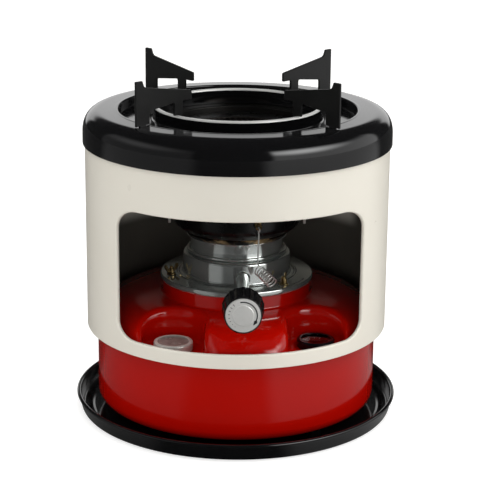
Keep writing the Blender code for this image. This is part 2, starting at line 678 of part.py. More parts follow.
def make_collar():
    under = COLLAR_TOP - SHEET
    ridge_in = COLLAR_RIDGE_RADIUS - COLLAR_RIDGE_WIDTH / 2
    ridge_out = COLLAR_RIDGE_RADIUS + COLLAR_RIDGE_WIDTH / 2
    ridge_top = COLLAR_TOP + COLLAR_RIDGE_HEIGHT
    corner_r = COLLAR_RADIUS - COLLAR_CORNER
    corner_z = COLLAR_SHOULDER - COLLAR_CORNER
    profile = [(COLLAR_LIP_RADIUS, COLLAR_SHOULDER)]
    profile += arc(corner_r, corner_z, COLLAR_CORNER, 90, 0, 4)
    profile += [(COLLAR_RADIUS, COLLAR_TOP), (ridge_in, COLLAR_TOP),
                (COLLAR_RIDGE_RADIUS, ridge_top), (ridge_out, COLLAR_TOP)]
    profile += arc(COLLAR_RIM_RADIUS - COLLAR_RIM_CORNER, COLLAR_TOP - COLLAR_RIM_CORNER,
                   COLLAR_RIM_CORNER, 90, 0, 3)
    profile += [(COLLAR_RIM_RADIUS, COLLAR_RIM_BOTTOM), (COLLAR_RIM_RADIUS - SHEET, COLLAR_RIM_BOTTOM),
                (COLLAR_RIM_RADIUS - SHEET, under), (COLLAR_RADIUS - SHEET, under)]
    profile += arc(corner_r, corner_z, COLLAR_CORNER - SHEET, 0, 90, 3)
    profile += [(COLLAR_LIP_RADIUS, COLLAR_SHOULDER - SHEET)]
    collar = turned("wick_collar", profile, MID_STEPS, "zinc_plate")
    cut(collar, cylinder("shaft_hole", bore(SHAFT_RADIUS), (SHAFT_X, -CARRIER_OUTER, SHAFT_Z),
                         (SHAFT_X, -COLLAR_RIM_RADIUS, SHAFT_Z), TINY_STEPS))
    gasket_low = NECK_TOP + GAP
    gasket_high = under - GAP
    gasket = [(GASKET_OUTER, gasket_high), (GASKET_OUTER, gasket_low), (GASKET_INNER, gasket_low),
              (GASKET_INNER, gasket_high)]
    turned("collar_gasket", gasket, MID_STEPS, "rubber")
    tube_low = COLLAR_SHOULDER + GAP
    inner = TUBE_RADIUS - TUBE_WALL
    tube = [(inner, TUBE_TOP), (TUBE_FLANGE_RADIUS, TUBE_TOP), (TUBE_FLANGE_RADIUS, TUBE_TOP - TUBE_WALL),
            (TUBE_RADIUS, TUBE_TOP - TUBE_WALL)]
    tube += arc(TUBE_RADIUS + TUBE_BEAD, tube_low + TUBE_BEAD, TUBE_BEAD, 150, -90, 6)
    tube += [(inner, tube_low)]
    turned("outer_wick_tube", tube, MID_STEPS, "zinc_plate")
    for index, azimuth in enumerate(NUT_AZIMUTHS):
        number = "_%d" % (index + 1)
        at = on_circle(STUD_CIRCLE, azimuth)
        low = Vector((at.x, at.y, NECK_TOP + GAP))
        cut(collar, cylinder("stud_hole" + number, STUD_RADIUS + GAP, low, low + Vector((0, 0, OVERRUN)),
                             TINY_STEPS))
        cylinder("collar_stud" + number, STUD_RADIUS, low, (at.x, at.y, STUD_TOP), TINY_STEPS, "brass")
        washer_low = COLLAR_TOP + GAP
        washer_high = washer_low + WASHER_THICKNESS
        hole = STUD_RADIUS + GAP
        turned("stud_washer" + number, [(WASHER_RADIUS, washer_high), (WASHER_RADIUS, washer_low),
                                        (hole, washer_low), (hole, washer_high)],
               TINY_STEPS, "brass", (at.x, at.y))
        wing_nut("wing_nut" + number, at, washer_high + GAP, azimuth + NUT_TURNS[index])


def wing_nut(name, at, low, degrees):
    """A hub with two upswept wings, bored for its stud."""
    half = NUT_SPAN / 2
    root = NUT_HUB_RADIUS * 0.6
    outline = [(-root, NUT_HUB_HEIGHT * 0.15), (root, NUT_HUB_HEIGHT * 0.15),
               (half * 0.80, NUT_HEIGHT * 0.42), (half, NUT_HEIGHT * 0.82), (half * 0.90, NUT_HEIGHT),
               (half * 0.62, NUT_HEIGHT * 0.96), (root, NUT_HUB_HEIGHT * 0.85),
               (-root, NUT_HUB_HEIGHT * 0.85), (-half * 0.62, NUT_HEIGHT * 0.96),
               (-half * 0.90, NUT_HEIGHT), (-half, NUT_HEIGHT * 0.82), (-half * 0.80, NUT_HEIGHT * 0.42)]
    wings = plate("wings", outline, NUT_WING_THICKNESS)
    wings.matrix_world = (Matrix.Translation((at.x, at.y, low)) @ Matrix.Rotation(math.radians(degrees), 4, "Z")
                          @ Matrix.Rotation(math.pi / 2, 4, "X"))
    nut = cylinder(name, NUT_HUB_RADIUS, (at.x, at.y, low), (at.x, at.y, low + NUT_HUB_HEIGHT),
                   TINY_STEPS, "brass", NUT_HUB_RADIUS * 0.85)
    fuse(nut, wings)
    cut(nut, cylinder("nut_bore", STUD_RADIUS + GAP, (at.x, at.y, low - OVERRUN),
                      (at.x, at.y, low + NUT_HEIGHT + OVERRUN), TINY_STEPS))


def gear_outline():
    """Closed outline of the pinion, with a gap between teeth pointing at minus X."""
    root = PINION_PITCH_RADIUS - TOOTH_DEDENDUM
    tip = PINION_PITCH_RADIUS + TOOTH_ADDENDUM
    step = 2 * math.pi / PINION_TEETH
    outline = []
    for index in range(PINION_TEETH):
        middle = math.pi + step * (index + 0.5)
        for radius, share in ((root, -TOOTH_ROOT_SHARE / 2), (tip, -TOOTH_TIP_SHARE / 2),
                              (tip, TOOTH_TIP_SHARE / 2), (root, TOOTH_ROOT_SHARE / 2)):
            angle = middle + step * share
            outline.append((radius * math.cos(angle), radius * math.sin(angle)))
    return outline


def make_winder():
    pitch = 2 * math.pi * PINION_PITCH_RADIUS / PINION_TEETH
    pinion_back = CARRIER_OUTER + GAP + GAP
    pinion_front = RACK_FACE_RADIUS - GAP
    middle = -(pinion_back + pinion_front) / 2
    pinion = plate("wick_pinion", gear_outline(), pinion_front - pinion_back, "brass")
    pinion.matrix_world = Matrix.Translation((SHAFT_X, middle, SHAFT_Z)) @ Matrix.Rotation(math.pi / 2, 4, "X")
    cut(pinion, cylinder("pinion_bore", SHAFT_RADIUS + RUNNING_GAP, (SHAFT_X, -pinion_back + OVERRUN, SHAFT_Z),
                         (SHAFT_X, -pinion_front - OVERRUN, SHAFT_Z), TINY_STEPS))
    cylinder("knob_shaft", SHAFT_RADIUS, (SHAFT_X, -pinion_back, SHAFT_Z),
             (SHAFT_X, -KNOB_SHAFT_END, SHAFT_Z), TINY_STEPS, "steel")
    sleeve = cylinder("shaft_sleeve", SLEEVE_RADIUS, (SHAFT_X, -CARRIER_OUTER, SHAFT_Z),
                      (SHAFT_X, -SLEEVE_END, SHAFT_Z), SMALL_STEPS, "zinc_plate")
    fuse(sleeve, cylinder("sleeve_nut", SLEEVE_NUT_RADIUS, (SHAFT_X, -SLEEVE_END + SLEEVE_NUT_LENGTH, SHAFT_Z),
                          (SHAFT_X, -SLEEVE_END, SHAFT_Z), 6))
    cut(sleeve, cylinder("sleeve_bore", bore(SHAFT_RADIUS), (SHAFT_X, 0, SHAFT_Z),
                         (SHAFT_X, -SLEEVE_END - OVERRUN, SHAFT_Z), TINY_STEPS))
    cut(sleeve, cylinder("sleeve_saddle", COLLAR_RADIUS + GAP, (0, 0, SHAFT_Z - COLLAR_RADIUS),
                         (0, 0, SHAFT_Z + COLLAR_RADIUS), MID_STEPS))
    line_x = SHAFT_X - PINION_PITCH_RADIUS
    root_x = line_x - TOOTH_DEDENDUM
    tip_x = line_x + TOOTH_ADDENDUM
    back_x = root_x - RACK_BACK
    first = math.ceil((RACK_BOTTOM - SHAFT_Z) / pitch + TOOTH_ROOT_SHARE)
    last = math.floor((RACK_TOP - SHAFT_Z) / pitch - TOOTH_ROOT_SHARE)
    outline = [(back_x, RACK_TOP), (back_x, RACK_BOTTOM), (root_x, RACK_BOTTOM)]
    for index in range(first, last + 1):
        tooth = SHAFT_Z + index * pitch
        outline += [(root_x, tooth - pitch * TOOTH_ROOT_SHARE / 2), (tip_x, tooth - pitch * TOOTH_TIP_SHARE / 2),
                    (tip_x, tooth + pitch * TOOTH_TIP_SHARE / 2),
                    (root_x, tooth + pitch * TOOTH_ROOT_SHARE / 2)]
    outline += [(root_x, RACK_TOP)]
    depth = RACK_FACE_RADIUS - CARRIER_OUTER + CARRIER_WALL
    rack = plate("wick_rack", outline, depth, "brass")
    rack.matrix_world = (Matrix.Translation((0.0, -RACK_FACE_RADIUS + depth / 2, 0.0))
                         @ Matrix.Rotation(math.pi / 2, 4, "X"))
    cut(rack, cylinder("rack_saddle", CARRIER_OUTER + GAP, (0, 0, RACK_BOTTOM - OVERRUN),
                       (0, 0, RACK_TOP + OVERRUN), MID_STEPS))
    inner = CARRIER_OUTER - CARRIER_WALL
    turned("wick_carrier", [(CARRIER_OUTER, CARRIER_TOP), (CARRIER_OUTER, CARRIER_BOTTOM),
                            (inner, CARRIER_BOTTOM), (inner, CARRIER_TOP)], MID_STEPS, "steel")
    turned("wick", [(WICK_OUTER, WICK_TOP), (WICK_OUTER, WICK_BOTTOM), (WICK_INNER, WICK_BOTTOM),
                    (WICK_INNER, WICK_TOP)], MID_STEPS, "cotton")


def make_knob():
    segments = KNOB_RIBS * 4
    knob = cylinder("knob_body", KNOB_BACK_RADIUS, (SHAFT_X, -KNOB_BACK, SHAFT_Z),
                    (SHAFT_X, -KNOB_FRONT, SHAFT_Z), segments, "black_plastic", KNOB_FRONT_RADIUS)
    step = 2 * math.pi / segments
    for vertex in knob.data.vertices:
        radius = vertex.co.xy.length
        place_on_rim = round(math.atan2(vertex.co.y, vertex.co.x) / step) % 4
        if place_on_rim in (2, 3):
            vertex.co.xy *= (radius - KNOB_RIB_DEPTH) / radius
    cut(knob, cylinder("face_recess", KNOB_FACE_RADIUS + RUNNING_GAP,
                       (SHAFT_X, -KNOB_FRONT + KNOB_FACE_DEPTH, SHAFT_Z),
                       (SHAFT_X, -KNOB_FRONT - OVERRUN, SHAFT_Z), MID_STEPS))
    cut(knob, cylinder("knob_bore", SHAFT_RADIUS + RUNNING_GAP, (SHAFT_X, -KNOB_BACK + OVERRUN, SHAFT_Z),
                       (SHAFT_X, -KNOB_SHAFT_END - GAP, SHAFT_Z), TINY_STEPS))
    inner = KNOB_FACE_RADIUS * KNOB_FACE_INNER_SHARE
    step_up = KNOB_FACE_STEP
    back = KNOB_FACE_DEPTH - GAP
    profile = [(0.0, step_up), (inner, step_up), (inner + step_up, 0.0), (KNOB_FACE_RADIUS - step_up, 0.0),
               (KNOB_FACE_RADIUS, -step_up), (KNOB_FACE_RADIUS, -back), (0.0, -back)]
    face = turned("knob_face", profile, MID_STEPS, "steel")
    face.rotation_euler = (math.pi / 2, 0.0, 0.0)
    face.location = (SHAFT_X, -KNOB_FRONT, SHAFT_Z)


def flame_holes(label, radius, low, high):
    """Rows of small round cutters through a flame tube's wall."""
    drills = []
    for row, share in enumerate(FLAME_ROW_SHARES):
        height = low + (high - low) * share
        for index in range(FLAME_HOLES):
            azimuth = 360 / FLAME_HOLES * (index + 0.5 * row + 0.25)
            start = on_circle(radius - OVERRUN, azimuth, height)
            end = on_circle(radius + OVERRUN, azimuth, height)
            drills.append(cylinder(label + "_drill", FLAME_HOLE_RADIUS, start, end, 6))
    return gathered(label + "_drills", drills)


def make_burner():
    base_low = TUBE_TOP + GAP
    base_high = base_low + BURNER_BASE_HEIGHT
    base = [(BURNER_BASE_RADIUS, base_high), (BURNER_BASE_RADIUS, base_low), (BURNER_BASE_INNER, base_low),
            (BURNER_BASE_INNER, base_high)]
    turned("burner_base", base, MID_STEPS, "brass")
    bowl_low = base_high + GAP
    curve = [(r, bowl_low + BOWL_CURVE_TOP - z)
             for r, z in quarter(BOWL_LOW_RADIUS, BOWL_RADIUS, bowl_low, BOWL_CURVE_TOP, 2.0, 5)]
    bowl = [(BOWL_RADIUS, BOWL_RIM)] + list(reversed(curve))
    bowl += [(BOWL_HOLE, bowl_low), (BOWL_HOLE, bowl_low + BURNER_SHEET)]
    bowl += [(r - BURNER_SHEET, z + BURNER_SHEET) for r, z in curve]
    bowl += [(BOWL_RADIUS - BURNER_SHEET, BOWL_RIM)]
    turned("burner_bowl", bowl, MID_STEPS, "black_enamel")
    drum_low = BOWL_RIM + GAP
    drum_in = BOWL_RADIUS - BURNER_SHEET
    ring_in = FLAME_RING_RADIUS + GAP + GAP
    drum = [(ring_in, DRUM_TOP - DRUM_SHOULDER), (ring_in, DRUM_TOP - DRUM_SHOULDER + BURNER_SHEET),
            (BOWL_RADIUS - DRUM_SHOULDER, DRUM_TOP), (BOWL_RADIUS, DRUM_TOP - DRUM_SHOULDER),
            (BOWL_RADIUS, drum_low), (drum_in, drum_low), (drum_in, DRUM_TOP - DRUM_SHOULDER)]
    turned("burner_drum", drum, MID_STEPS, "black_enamel")
    pin_z = bowl_low + (DRUM_TOP - bowl_low) * CROSS_PIN_SHARE
    pin_end = FLAME_RING_RADIUS + GAP + CROSS_PIN_RADIUS
    pin_hole = cylinder("pin_hole", CROSS_PIN_RADIUS + RUNNING_GAP, (-pin_end - OVERRUN, 0, pin_z),
                        (pin_end + OVERRUN, 0, pin_z), TINY_STEPS)
    ring_low = bowl_low + BURNER_SHEET + GAP
    ring_high = DRUM_TOP - DRUM_SHOULDER + BURNER_SHEET
    ring = turned("outer_flame_tube", [(FLAME_RING_RADIUS, ring_high), (FLAME_RING_RADIUS, ring_low),
                                       (FLAME_RING_RADIUS - FLAME_RING_WALL, ring_low),
                                       (FLAME_RING_RADIUS - FLAME_RING_WALL, ring_high)],
                  MID_STEPS, "steel")
    cut(ring, flame_holes("ring", FLAME_RING_RADIUS, ring_low, ring_high), pin_hole)
    core_low = DRAFT_TOP + GAP
    core = turned("inner_flame_tube", [(FLAME_CORE_RADIUS, FLAME_CORE_TOP), (FLAME_CORE_RADIUS, core_low),
                                       (FLAME_CORE_RADIUS - FLAME_RING_WALL, core_low),
                                       (FLAME_CORE_RADIUS - FLAME_RING_WALL, FLAME_CORE_TOP)],
                  MID_STEPS, "steel")
    cut(core, flame_holes("core", FLAME_CORE_RADIUS, core_low, FLAME_CORE_TOP), pin_hole)
    spread_low = FLAME_CORE_TOP + GAP
    crown_low = spread_low + SPREADER_HEIGHT - SPREADER_CROWN
    spreader = [(0.0, spread_low + SPREADER_HEIGHT)]
    spreader += [(SPREADER_RADIUS * 0.5, spread_low + SPREADER_HEIGHT * 0.9),
                 (SPREADER_RADIUS * 0.85, crown_low + SPREADER_CROWN * 0.45), (SPREADER_RADIUS, crown_low),
                 (SPREADER_RADIUS, spread_low), (0.0, spread_low)]
    turned("flame_spreader", spreader, MID_STEPS, "steel")
    cylinder("burner_cross_pin", CROSS_PIN_RADIUS, (-pin_end, 0, pin_z), (pin_end, 0, pin_z), TINY_STEPS,
             "steel")


def make_handle():
    outward = on_circle(1.0, HANDLE_AZIMUTH)
    sideways = Vector((-outward.y, outward.x, 0.0))
    up = Vector((0.0, 0.0, 1.0))
    pivot = outward * HANDLE_PIVOT_RADIUS + up * HANDLE_PIVOT_HEIGHT
    ring_top = pivot + up * BRACKET_RING * 2
    foot = outward * (BOWL_RADIUS + GAP) + up * ring_top.z
    bracket = box("handle_bracket", (-BRACKET_WIDTH / 2, -BRACKET_THICKNESS, -BRACKET_HEIGHT / 2),
                  (BRACKET_WIDTH / 2, 0.0, BRACKET_HEIGHT / 2), "brass")
    bracket.location = foot + outward * BRACKET_THICKNESS
    bracket.rotation_euler = (0.0, 0.0, math.radians(HANDLE_AZIMUTH - 90))
    stub_start = foot + outward * BRACKET_THICKNESS / 2
    fuse(bracket, cylinder("bracket_stub", BRACKET_WIRE, stub_start, ring_top, 8))
    ring = [pivot + up * BRACKET_RING * (1 + math.cos(2 * math.pi * i / TINY_STEPS))
            + sideways * BRACKET_RING * math.sin(2 * math.pi * i / TINY_STEPS) for i in range(TINY_STEPS)]
    fuse(bracket, wire("bracket_ring", ring, BRACKET_WIRE, None, cyclic=True))
    eye_centre = pivot - up * (HANDLE_EYE_RADIUS - HANDLE_WIRE - BRACKET_WIRE - GAP)
    points = []
    for index in range(TINY_STEPS - 1):
        angle = math.radians(-40 + 290 * index / (TINY_STEPS - 2))
        points.append(eye_centre + outward * HANDLE_EYE_RADIUS * math.cos(angle)
                      + up * HANDLE_EYE_RADIUS * math.sin(angle))
    below = eye_centre - up * (HANDLE_EYE_RADIUS + HANDLE_WIRE * 4)
    drop = eye_centre - up * HANDLE_DROP + outward * HANDLE_OUT - sideways * HANDLE_ASIDE
    points += [below, drop]
    direction = Vector(GRIP_DIRECTION_SHARES).normalized()
    first_side = direction.cross(Vector((0.0, 1.0, 0.0))).normalized()
    second_side = direction.cross(first_side)
    start_angle = math.atan2(-second_side.z, -first_side.z) + math.pi
    grip_start = drop - up * GRIP_RADIUS + direction * GRIP_OFFSET
    count = GRIP_TURNS * GRIP_STEPS
    coil = []
    for index in range(count + 1):
        angle = start_angle + 2 * math.pi * index / GRIP_STEPS
        coil.append(grip_start + direction * (GRIP_PITCH * index / GRIP_STEPS)
                    + (first_side * math.cos(angle) + second_side * math.sin(angle)) * GRIP_RADIUS)
    wire("lift_handle", points + coil, HANDLE_WIRE, "steel")
    least = min((coil[i] - coil[j]).length for i in range(len(coil))
                for j in range(i + GRIP_STEPS - 2, min(i + GRIP_STEPS + 3, len(coil))))
    print("handle grip, least gap between turns in mm:", round((least - 2 * HANDLE_WIRE) * 1000, 2))
    return pivot


def make_shroud():
    inner = SHROUD_RADIUS - SHROUD_WALL
    flange_top = CAP_TOP - RECESS_DEPTH - SHEET - GAP
    profile = [(inner, flange_top), (SHROUD_FLANGE_RADIUS, flange_top),
               (SHROUD_FLANGE_RADIUS, flange_top - SHROUD_WALL),
               (SHROUD_RADIUS, flange_top - SHROUD_WALL), (SHROUD_RADIUS, SHROUD_BOTTOM),
               (inner, SHROUD_BOTTOM)]
    shroud = turned("burner_shroud", profile, MID_STEPS, "zinc_plate")
    for side in (-1, 1):
        sides = sorted((side * (inner + RUNNING_GAP), side * (SHROUD_RADIUS - RUNNING_GAP)))
        fuse(shroud, box("tab", (sides[0], -SHROUD_TAB_WIDTH / 2, SHROUD_TAB_BOTTOM),
                         (sides[1], SHROUD_TAB_WIDTH / 2, SHROUD_BOTTOM + OVERRUN)))


def window_prism(name, grow):
    """The window's outline, grown all round, as a prism through the casing's front."""
    corners = ((WINDOW_RIGHT, WINDOW_TOP, WINDOW_TOP_CORNER, 0),
               (WINDOW_LEFT, WINDOW_TOP, WINDOW_TOP_CORNER, 90),
               (WINDOW_LEFT, WINDOW_BOTTOM, WINDOW_BOTTOM_CORNER, 180),
               (WINDOW_RIGHT, WINDOW_BOTTOM, WINDOW_BOTTOM_CORNER, 270))
    outline = []
    for x, z, radius, start in corners:
        inward_x = -1 if x > 0 else 1
        inward_z = -1 if z == WINDOW_TOP else 1
        outline += arc(x + inward_x * radius, z + inward_z * radius, radius + grow, start, start + 90, 4)
    prism = plate(name, outline, CASING_RADIUS)
    prism.matrix_world = (Matrix.Translation((0, -CASING_RADIUS / 2 - COLLAR_RADIUS, 0))
                          @ Matrix.Rotation(math.pi / 2, 4, "X"))
    return prism


def make_casing():
    low = SEAM_HEIGHT + GAP + SEAM_LAYER + GAP
    inner = CASING_RADIUS - CASING_SHEET
    profile = [(CASING_RADIUS, CASING_TOP), (CASING_RADIUS, low), (CASING_FLANGE_RADIUS, low),
               (CASING_FLANGE_RADIUS, low + CASING_SHEET), (inner, low + CASING_SHEET), (inner, CASING_TOP)]
    casing = turned("casing_shell", profile, BIG_STEPS, "cream_enamel")
    middle = CASING_RADIUS - CASING_SHEET / 2
    reach = WINDOW_LIP + CASING_SHEET
    lip = turned("window_lip", [(middle, WINDOW_TOP + reach), (middle, WINDOW_BOTTOM - reach),
                                (inner - WINDOW_LIP, WINDOW_BOTTOM - reach),
                                (inner - WINDOW_LIP, WINDOW_TOP + reach)], BIG_STEPS)
    boolean(lip, window_prism("lip_outline", CASING_SHEET), "INTERSECT")
    lap = box("lap", (-LAP_WIDTH / 2, inner - CASING_SHEET, low + CASING_SHEET / 2),
              (LAP_WIDTH / 2, middle, CASING_TOP - CASING_SHEET))
    fuse(casing, lip, lap)
    cut(casing, window_prism("window", 0.0))


def cap_profile():
    floor = CAP_TOP - RECESS_DEPTH
    bead_z = OPENING_TOP - OPENING_BEAD
    inside = OPENING_RADIUS - OPENING_BEAD
    outside = OPENING_RADIUS + OPENING_BEAD
    corner = RECESS_CORNER
    top = [(inside, floor - SHEET)] + arc(OPENING_RADIUS, bead_z, OPENING_BEAD, 180, 0, 5)
    top += [(outside, floor + corner), (outside + corner, floor)]
    top += [(RECESS_RADIUS - corner, floor), (RECESS_RADIUS, floor + corner)]
    top += arc(RECESS_RADIUS + corner, CAP_TOP - corner, corner, 180, 90, 3)
    top += quarter(CAP_RING_RADIUS, CAP_RADIUS, CAP_SHOULDER, CAP_RING_EDGE, CAP_SHOULDER_POWER, 6)
    top += [(CAP_RADIUS, CAP_SKIRT_BOTTOM)]
    under = [(CAP_RADIUS - SHEET, CAP_SKIRT_BOTTOM)]
    under += list(reversed(quarter(CAP_RING_RADIUS, CAP_RADIUS - SHEET, CAP_SHOULDER, CAP_RING_EDGE - SHEET,
                                   CAP_SHOULDER_POWER, 5)))
    under += [(RECESS_RADIUS + SHEET + corner, CAP_TOP - SHEET), (RECESS_RADIUS + SHEET, CAP_TOP - SHEET - corner),
              (RECESS_RADIUS + SHEET, floor), (RECESS_RADIUS - corner, floor - SHEET)]
    return top + under


def make_cap():
    cap = turned("top_cap", cap_profile(), BIG_STEPS, "black_enamel")
    half = REST_THICKNESS / 2 + GAP
    tongue_inner = RECESS_RADIUS + REST_TONGUE_INSET
    tongue_outer = tongue_inner + REST_TONGUE_WIDTH
    for index, azimuth in enumerate(REST_AZIMUTHS):
        slot = box("rest_slot_%d" % index, (tongue_inner - GAP, -half, CAP_TOP - REST_TONGUE_DEPTH - OVERRUN),
                   (tongue_outer + GAP, half, CAP_TOP + OVERRUN))
        slot.rotation_euler = (0.0, 0.0, math.radians(azimuth))
        cut(cap, slot)


def rest_outline():
    foot = CAP_TOP + GAP
    heel = CAP_RING_EDGE + GAP
    leg_foot = OPENING_TOP + GAP
    outer = CAP_RING_RADIUS + REST_OVERHANG
    tip_inner = outer - REST_TIP_WIDTH
    neck = tip_inner - REST_NECK_SLANT
    slope_outer = neck - REST_NECK_WIDTH
    leg_inner = OPENING_RADIUS - REST_LEG_INWARD
    leg_outer = OPENING_RADIUS + REST_LEG_OUTWARD
    nose = leg_inner - REST_NOSE_LENGTH
    window_outer = RECESS_RADIUS - REST_WINDOW_INSET
    tongue_inner = RECESS_RADIUS + REST_TONGUE_INSET
    tongue_outer = tongue_inner + REST_TONGUE_WIDTH
    tongue_bottom = CAP_TOP - REST_TONGUE_DEPTH
    window_low = CAP_TOP + REST_ARM_CLEARANCE
    window_high = window_low + REST_WINDOW_RISE
    nose_bottom = window_high + REST_NOSE_STEP
    nose_top = nose_bottom + REST_NOSE_HEIGHT
    slope_top = nose_top + REST_SLOPE_RISE
    neck_top = slope_top + REST_NECK_RISE
    tip = neck_top + REST_TIP_RISE
    window_slope = (window_high - window_low) / (window_outer - leg_outer)
    corner = REST_NOSE_CHAMFER
    return [(outer, tip), (tip_inner, tip), (neck, neck_top), (slope_outer, slope_top),
            (nose + corner, nose_top), (nose, nose_top - corner), (nose, nose_bottom + corner),
            (nose + corner, nose_bottom), (leg_inner, nose_bottom), (leg_inner, leg_foot),
            (leg_outer, leg_foot), (leg_outer, window_high - corner),
            (leg_outer + corner, window_high - corner * window_slope),
            (window_outer - corner, window_low + corner * window_slope),
            (window_outer, window_low - corner), (window_outer, foot),
            (tongue_inner, foot), (tongue_inner, tongue_bottom),
            (tongue_outer, tongue_bottom), (tongue_outer, foot), (outer, heel)]


def make_rests():
    for index, azimuth in enumerate(REST_AZIMUTHS):
        rest = plate("pot_rest_%d" % (index + 1), rest_outline(), REST_THICKNESS, "black_enamel")
        rest.matrix_world = (Matrix.Rotation(math.radians(azimuth), 4, "Z")
                             @ Matrix.Rotation(math.pi / 2, 4, "X"))


def hang(joint, at, names):
    """Parent the pieces that move together to an empty on their joint's axis."""
    empty = bpy.data.objects.new(joint, None)
    empty.location = at
    empty.empty_display_size = OVERRUN
    PARTS.objects.link(empty)
    bpy.context.view_layer.update()
    for name in names:
        piece = PARTS.objects[name]
        piece.parent = empty
        piece.matrix_parent_inverse = empty.matrix_world.inverted()
    return empty


make_tray()
make_tank_base()
make_tank_top()
make_filler()
make_gauge()
make_collar()
make_winder()
make_knob()
make_burner()
handle_pivot = make_handle()
make_shroud()
make_casing()
make_cap()
make_rests()

hang("knob_turn", (SHAFT_X, -KNOB_BACK, SHAFT_Z), ("knob_body", "knob_face", "knob_shaft", "wick_pinion"))
hang("wick_raise", (0.0, 0.0, WICK_BOTTOM), ("wick", "wick_carrier", "wick_rack"))
burner = hang("burner_lift", (0.0, 0.0, TUBE_TOP),
              ("burner_base", "burner_bowl", "burner_drum", "outer_flame_tube", "inner_flame_tube",
               "flame_spreader", "burner_cross_pin", "handle_bracket"))
handle = hang("handle_swing", handle_pivot, ("lift_handle",))
handle.parent = burner
handle.matrix_parent_inverse = burner.matrix_world.inverted()
hang("filler_cap_lift", (FILLER_X, FILLER_Y, POCKET_FLOOR), ("filler_cap",))
hang("float_swing", (GAUGE_X, GAUGE_Y, PIVOT_HEIGHT), ("gauge_float", "gauge_float_arm"))
hang("needle_turn", (GAUGE_X, GAUGE_Y, POCKET_FLOOR), ("gauge_needle",))
bpy.context.view_layer.update()
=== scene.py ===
import math
import bmesh
import bpy
import numpy as np
from mathutils import Matrix, Vector


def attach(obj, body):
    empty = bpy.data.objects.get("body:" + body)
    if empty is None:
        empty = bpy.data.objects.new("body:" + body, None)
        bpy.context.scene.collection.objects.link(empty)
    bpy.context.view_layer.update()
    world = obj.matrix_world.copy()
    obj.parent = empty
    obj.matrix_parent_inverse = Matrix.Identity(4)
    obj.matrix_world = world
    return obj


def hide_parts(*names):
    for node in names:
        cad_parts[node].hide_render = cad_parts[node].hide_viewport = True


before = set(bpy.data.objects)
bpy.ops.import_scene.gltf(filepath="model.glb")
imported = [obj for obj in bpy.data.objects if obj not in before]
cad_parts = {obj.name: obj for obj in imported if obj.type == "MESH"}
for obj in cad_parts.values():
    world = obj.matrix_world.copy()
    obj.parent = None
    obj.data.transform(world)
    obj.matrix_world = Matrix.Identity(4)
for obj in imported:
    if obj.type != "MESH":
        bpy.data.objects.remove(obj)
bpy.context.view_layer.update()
mm = 0.001


# colour and nodes

def linear(hexColour):
    # sRGB hex to linear red, green, blue and alpha
    parts = [int(hexColour[i:i + 2], 16) / 255 for i in (1, 3, 5)]
    return tuple(c / 12.92 if c <= 0.04045 else ((c + 0.055) / 1.055) ** 2.4 for c in parts) + (1.0,)


def addNode(tree, kind, settings=None, links=None):
    # a node with its settings, and links to its inputs from sockets, or from nodes' first outputs
    node = tree.nodes.new("ShaderNode" + kind)
    names = node.inputs.keys()
    for key, value in (settings or {}).items():
        if isinstance(key, int) or (key in names and not hasattr(node, key)):
            node.inputs[key].default_value = value
        else:
            setattr(node, key, value)
    for key, source in (links or {}).items():
        tree.links.new(getattr(source, "outputs", [source])[0], node.inputs[key])
    return node


def newMaterial(name, colour, roughness, settings=None):
    # a material with one Principled shader, ready for patterns
    material = bpy.data.materials.new(name)
    material.use_nodes = True
    tree = material.node_tree
    tree.nodes.clear()
    shader = addNode(tree, "BsdfPrincipled",
                     {"Base Color": linear(colour), "Roughness": roughness, **(settings or {})})
    addNode(tree, "OutputMaterial", None, {"Surface": shader})
    return material, tree, shader


def mottle(tree, shader, colours, size, detail=3.0, edge=(0.0, 1.0)):
    # two colours mixed by soft noise of one size in mm, which turns from one to the other between
    # the edge's two values
    place = addNode(tree, "TexCoord").outputs["Object"]
    noise = addNode(tree, "TexNoise", {"Scale": 1000 / size, "Detail": detail}, {"Vector": place})
    share = addNode(tree, "MapRange", {1: edge[0], 2: edge[1]}, {0: noise})
    mix = addNode(tree, "Mix", {"data_type": "RGBA", 6: linear(colours[0]), 7: linear(colours[1])},
                  {0: share})
    tree.links.new(mix.outputs[2], shader.inputs["Base Color"])
    return mix


def ripple(tree, shader, size, depth, strength):
    # a noise bump of one size and depth in mm
    place = addNode(tree, "TexCoord").outputs["Object"]
    noise = addNode(tree, "TexNoise", {"Scale": 1000 / size, "Detail": 2.0}, {"Vector": place})
    bump = addNode(tree, "Bump", {"Strength": strength, "Distance": depth * mm}, {"Height": noise})
    tree.links.new(bump.outputs[0], shader.inputs["Normal"])


def turningLines(tree, shader, axis, pitch, waver, strength, centre=(0.0, 0.0, 0.0)):
    # fine rings round an axis, a pitch in mm apart: a wave's rings come every pi / 10 over its scale
    place = addNode(tree, "TexCoord").outputs["Object"]
    centred = addNode(tree, "Mapping", {"Location": [-c for c in centre]}, {"Vector": place})
    rings = addNode(tree, "TexWave", {"wave_type": "RINGS", "rings_direction": axis, "Detail": 2.0,
                                      "Scale": math.pi / 10 / (pitch * mm), "Distortion": waver},
                    {"Vector": centred})
    bump = addNode(tree, "Bump", {"Strength": strength, "Distance": 0.01 * mm},
                   {"Height": rings.outputs["Fac"]})
    tree.links.new(bump.outputs[0], shader.inputs["Normal"])


def smudge(tree, shader, low, high, size):
    # roughness that wanders between two values over spots of one size in mm
    place = addNode(tree, "TexCoord").outputs["Object"]
    noise = addNode(tree, "TexNoise", {"Scale": 1000 / size, "Detail": 5.0}, {"Vector": place})
    spread = addNode(tree, "MapRange", {3: low, 4: high}, {0: noise})
    tree.links.new(spread.outputs[0], shader.inputs["Roughness"])


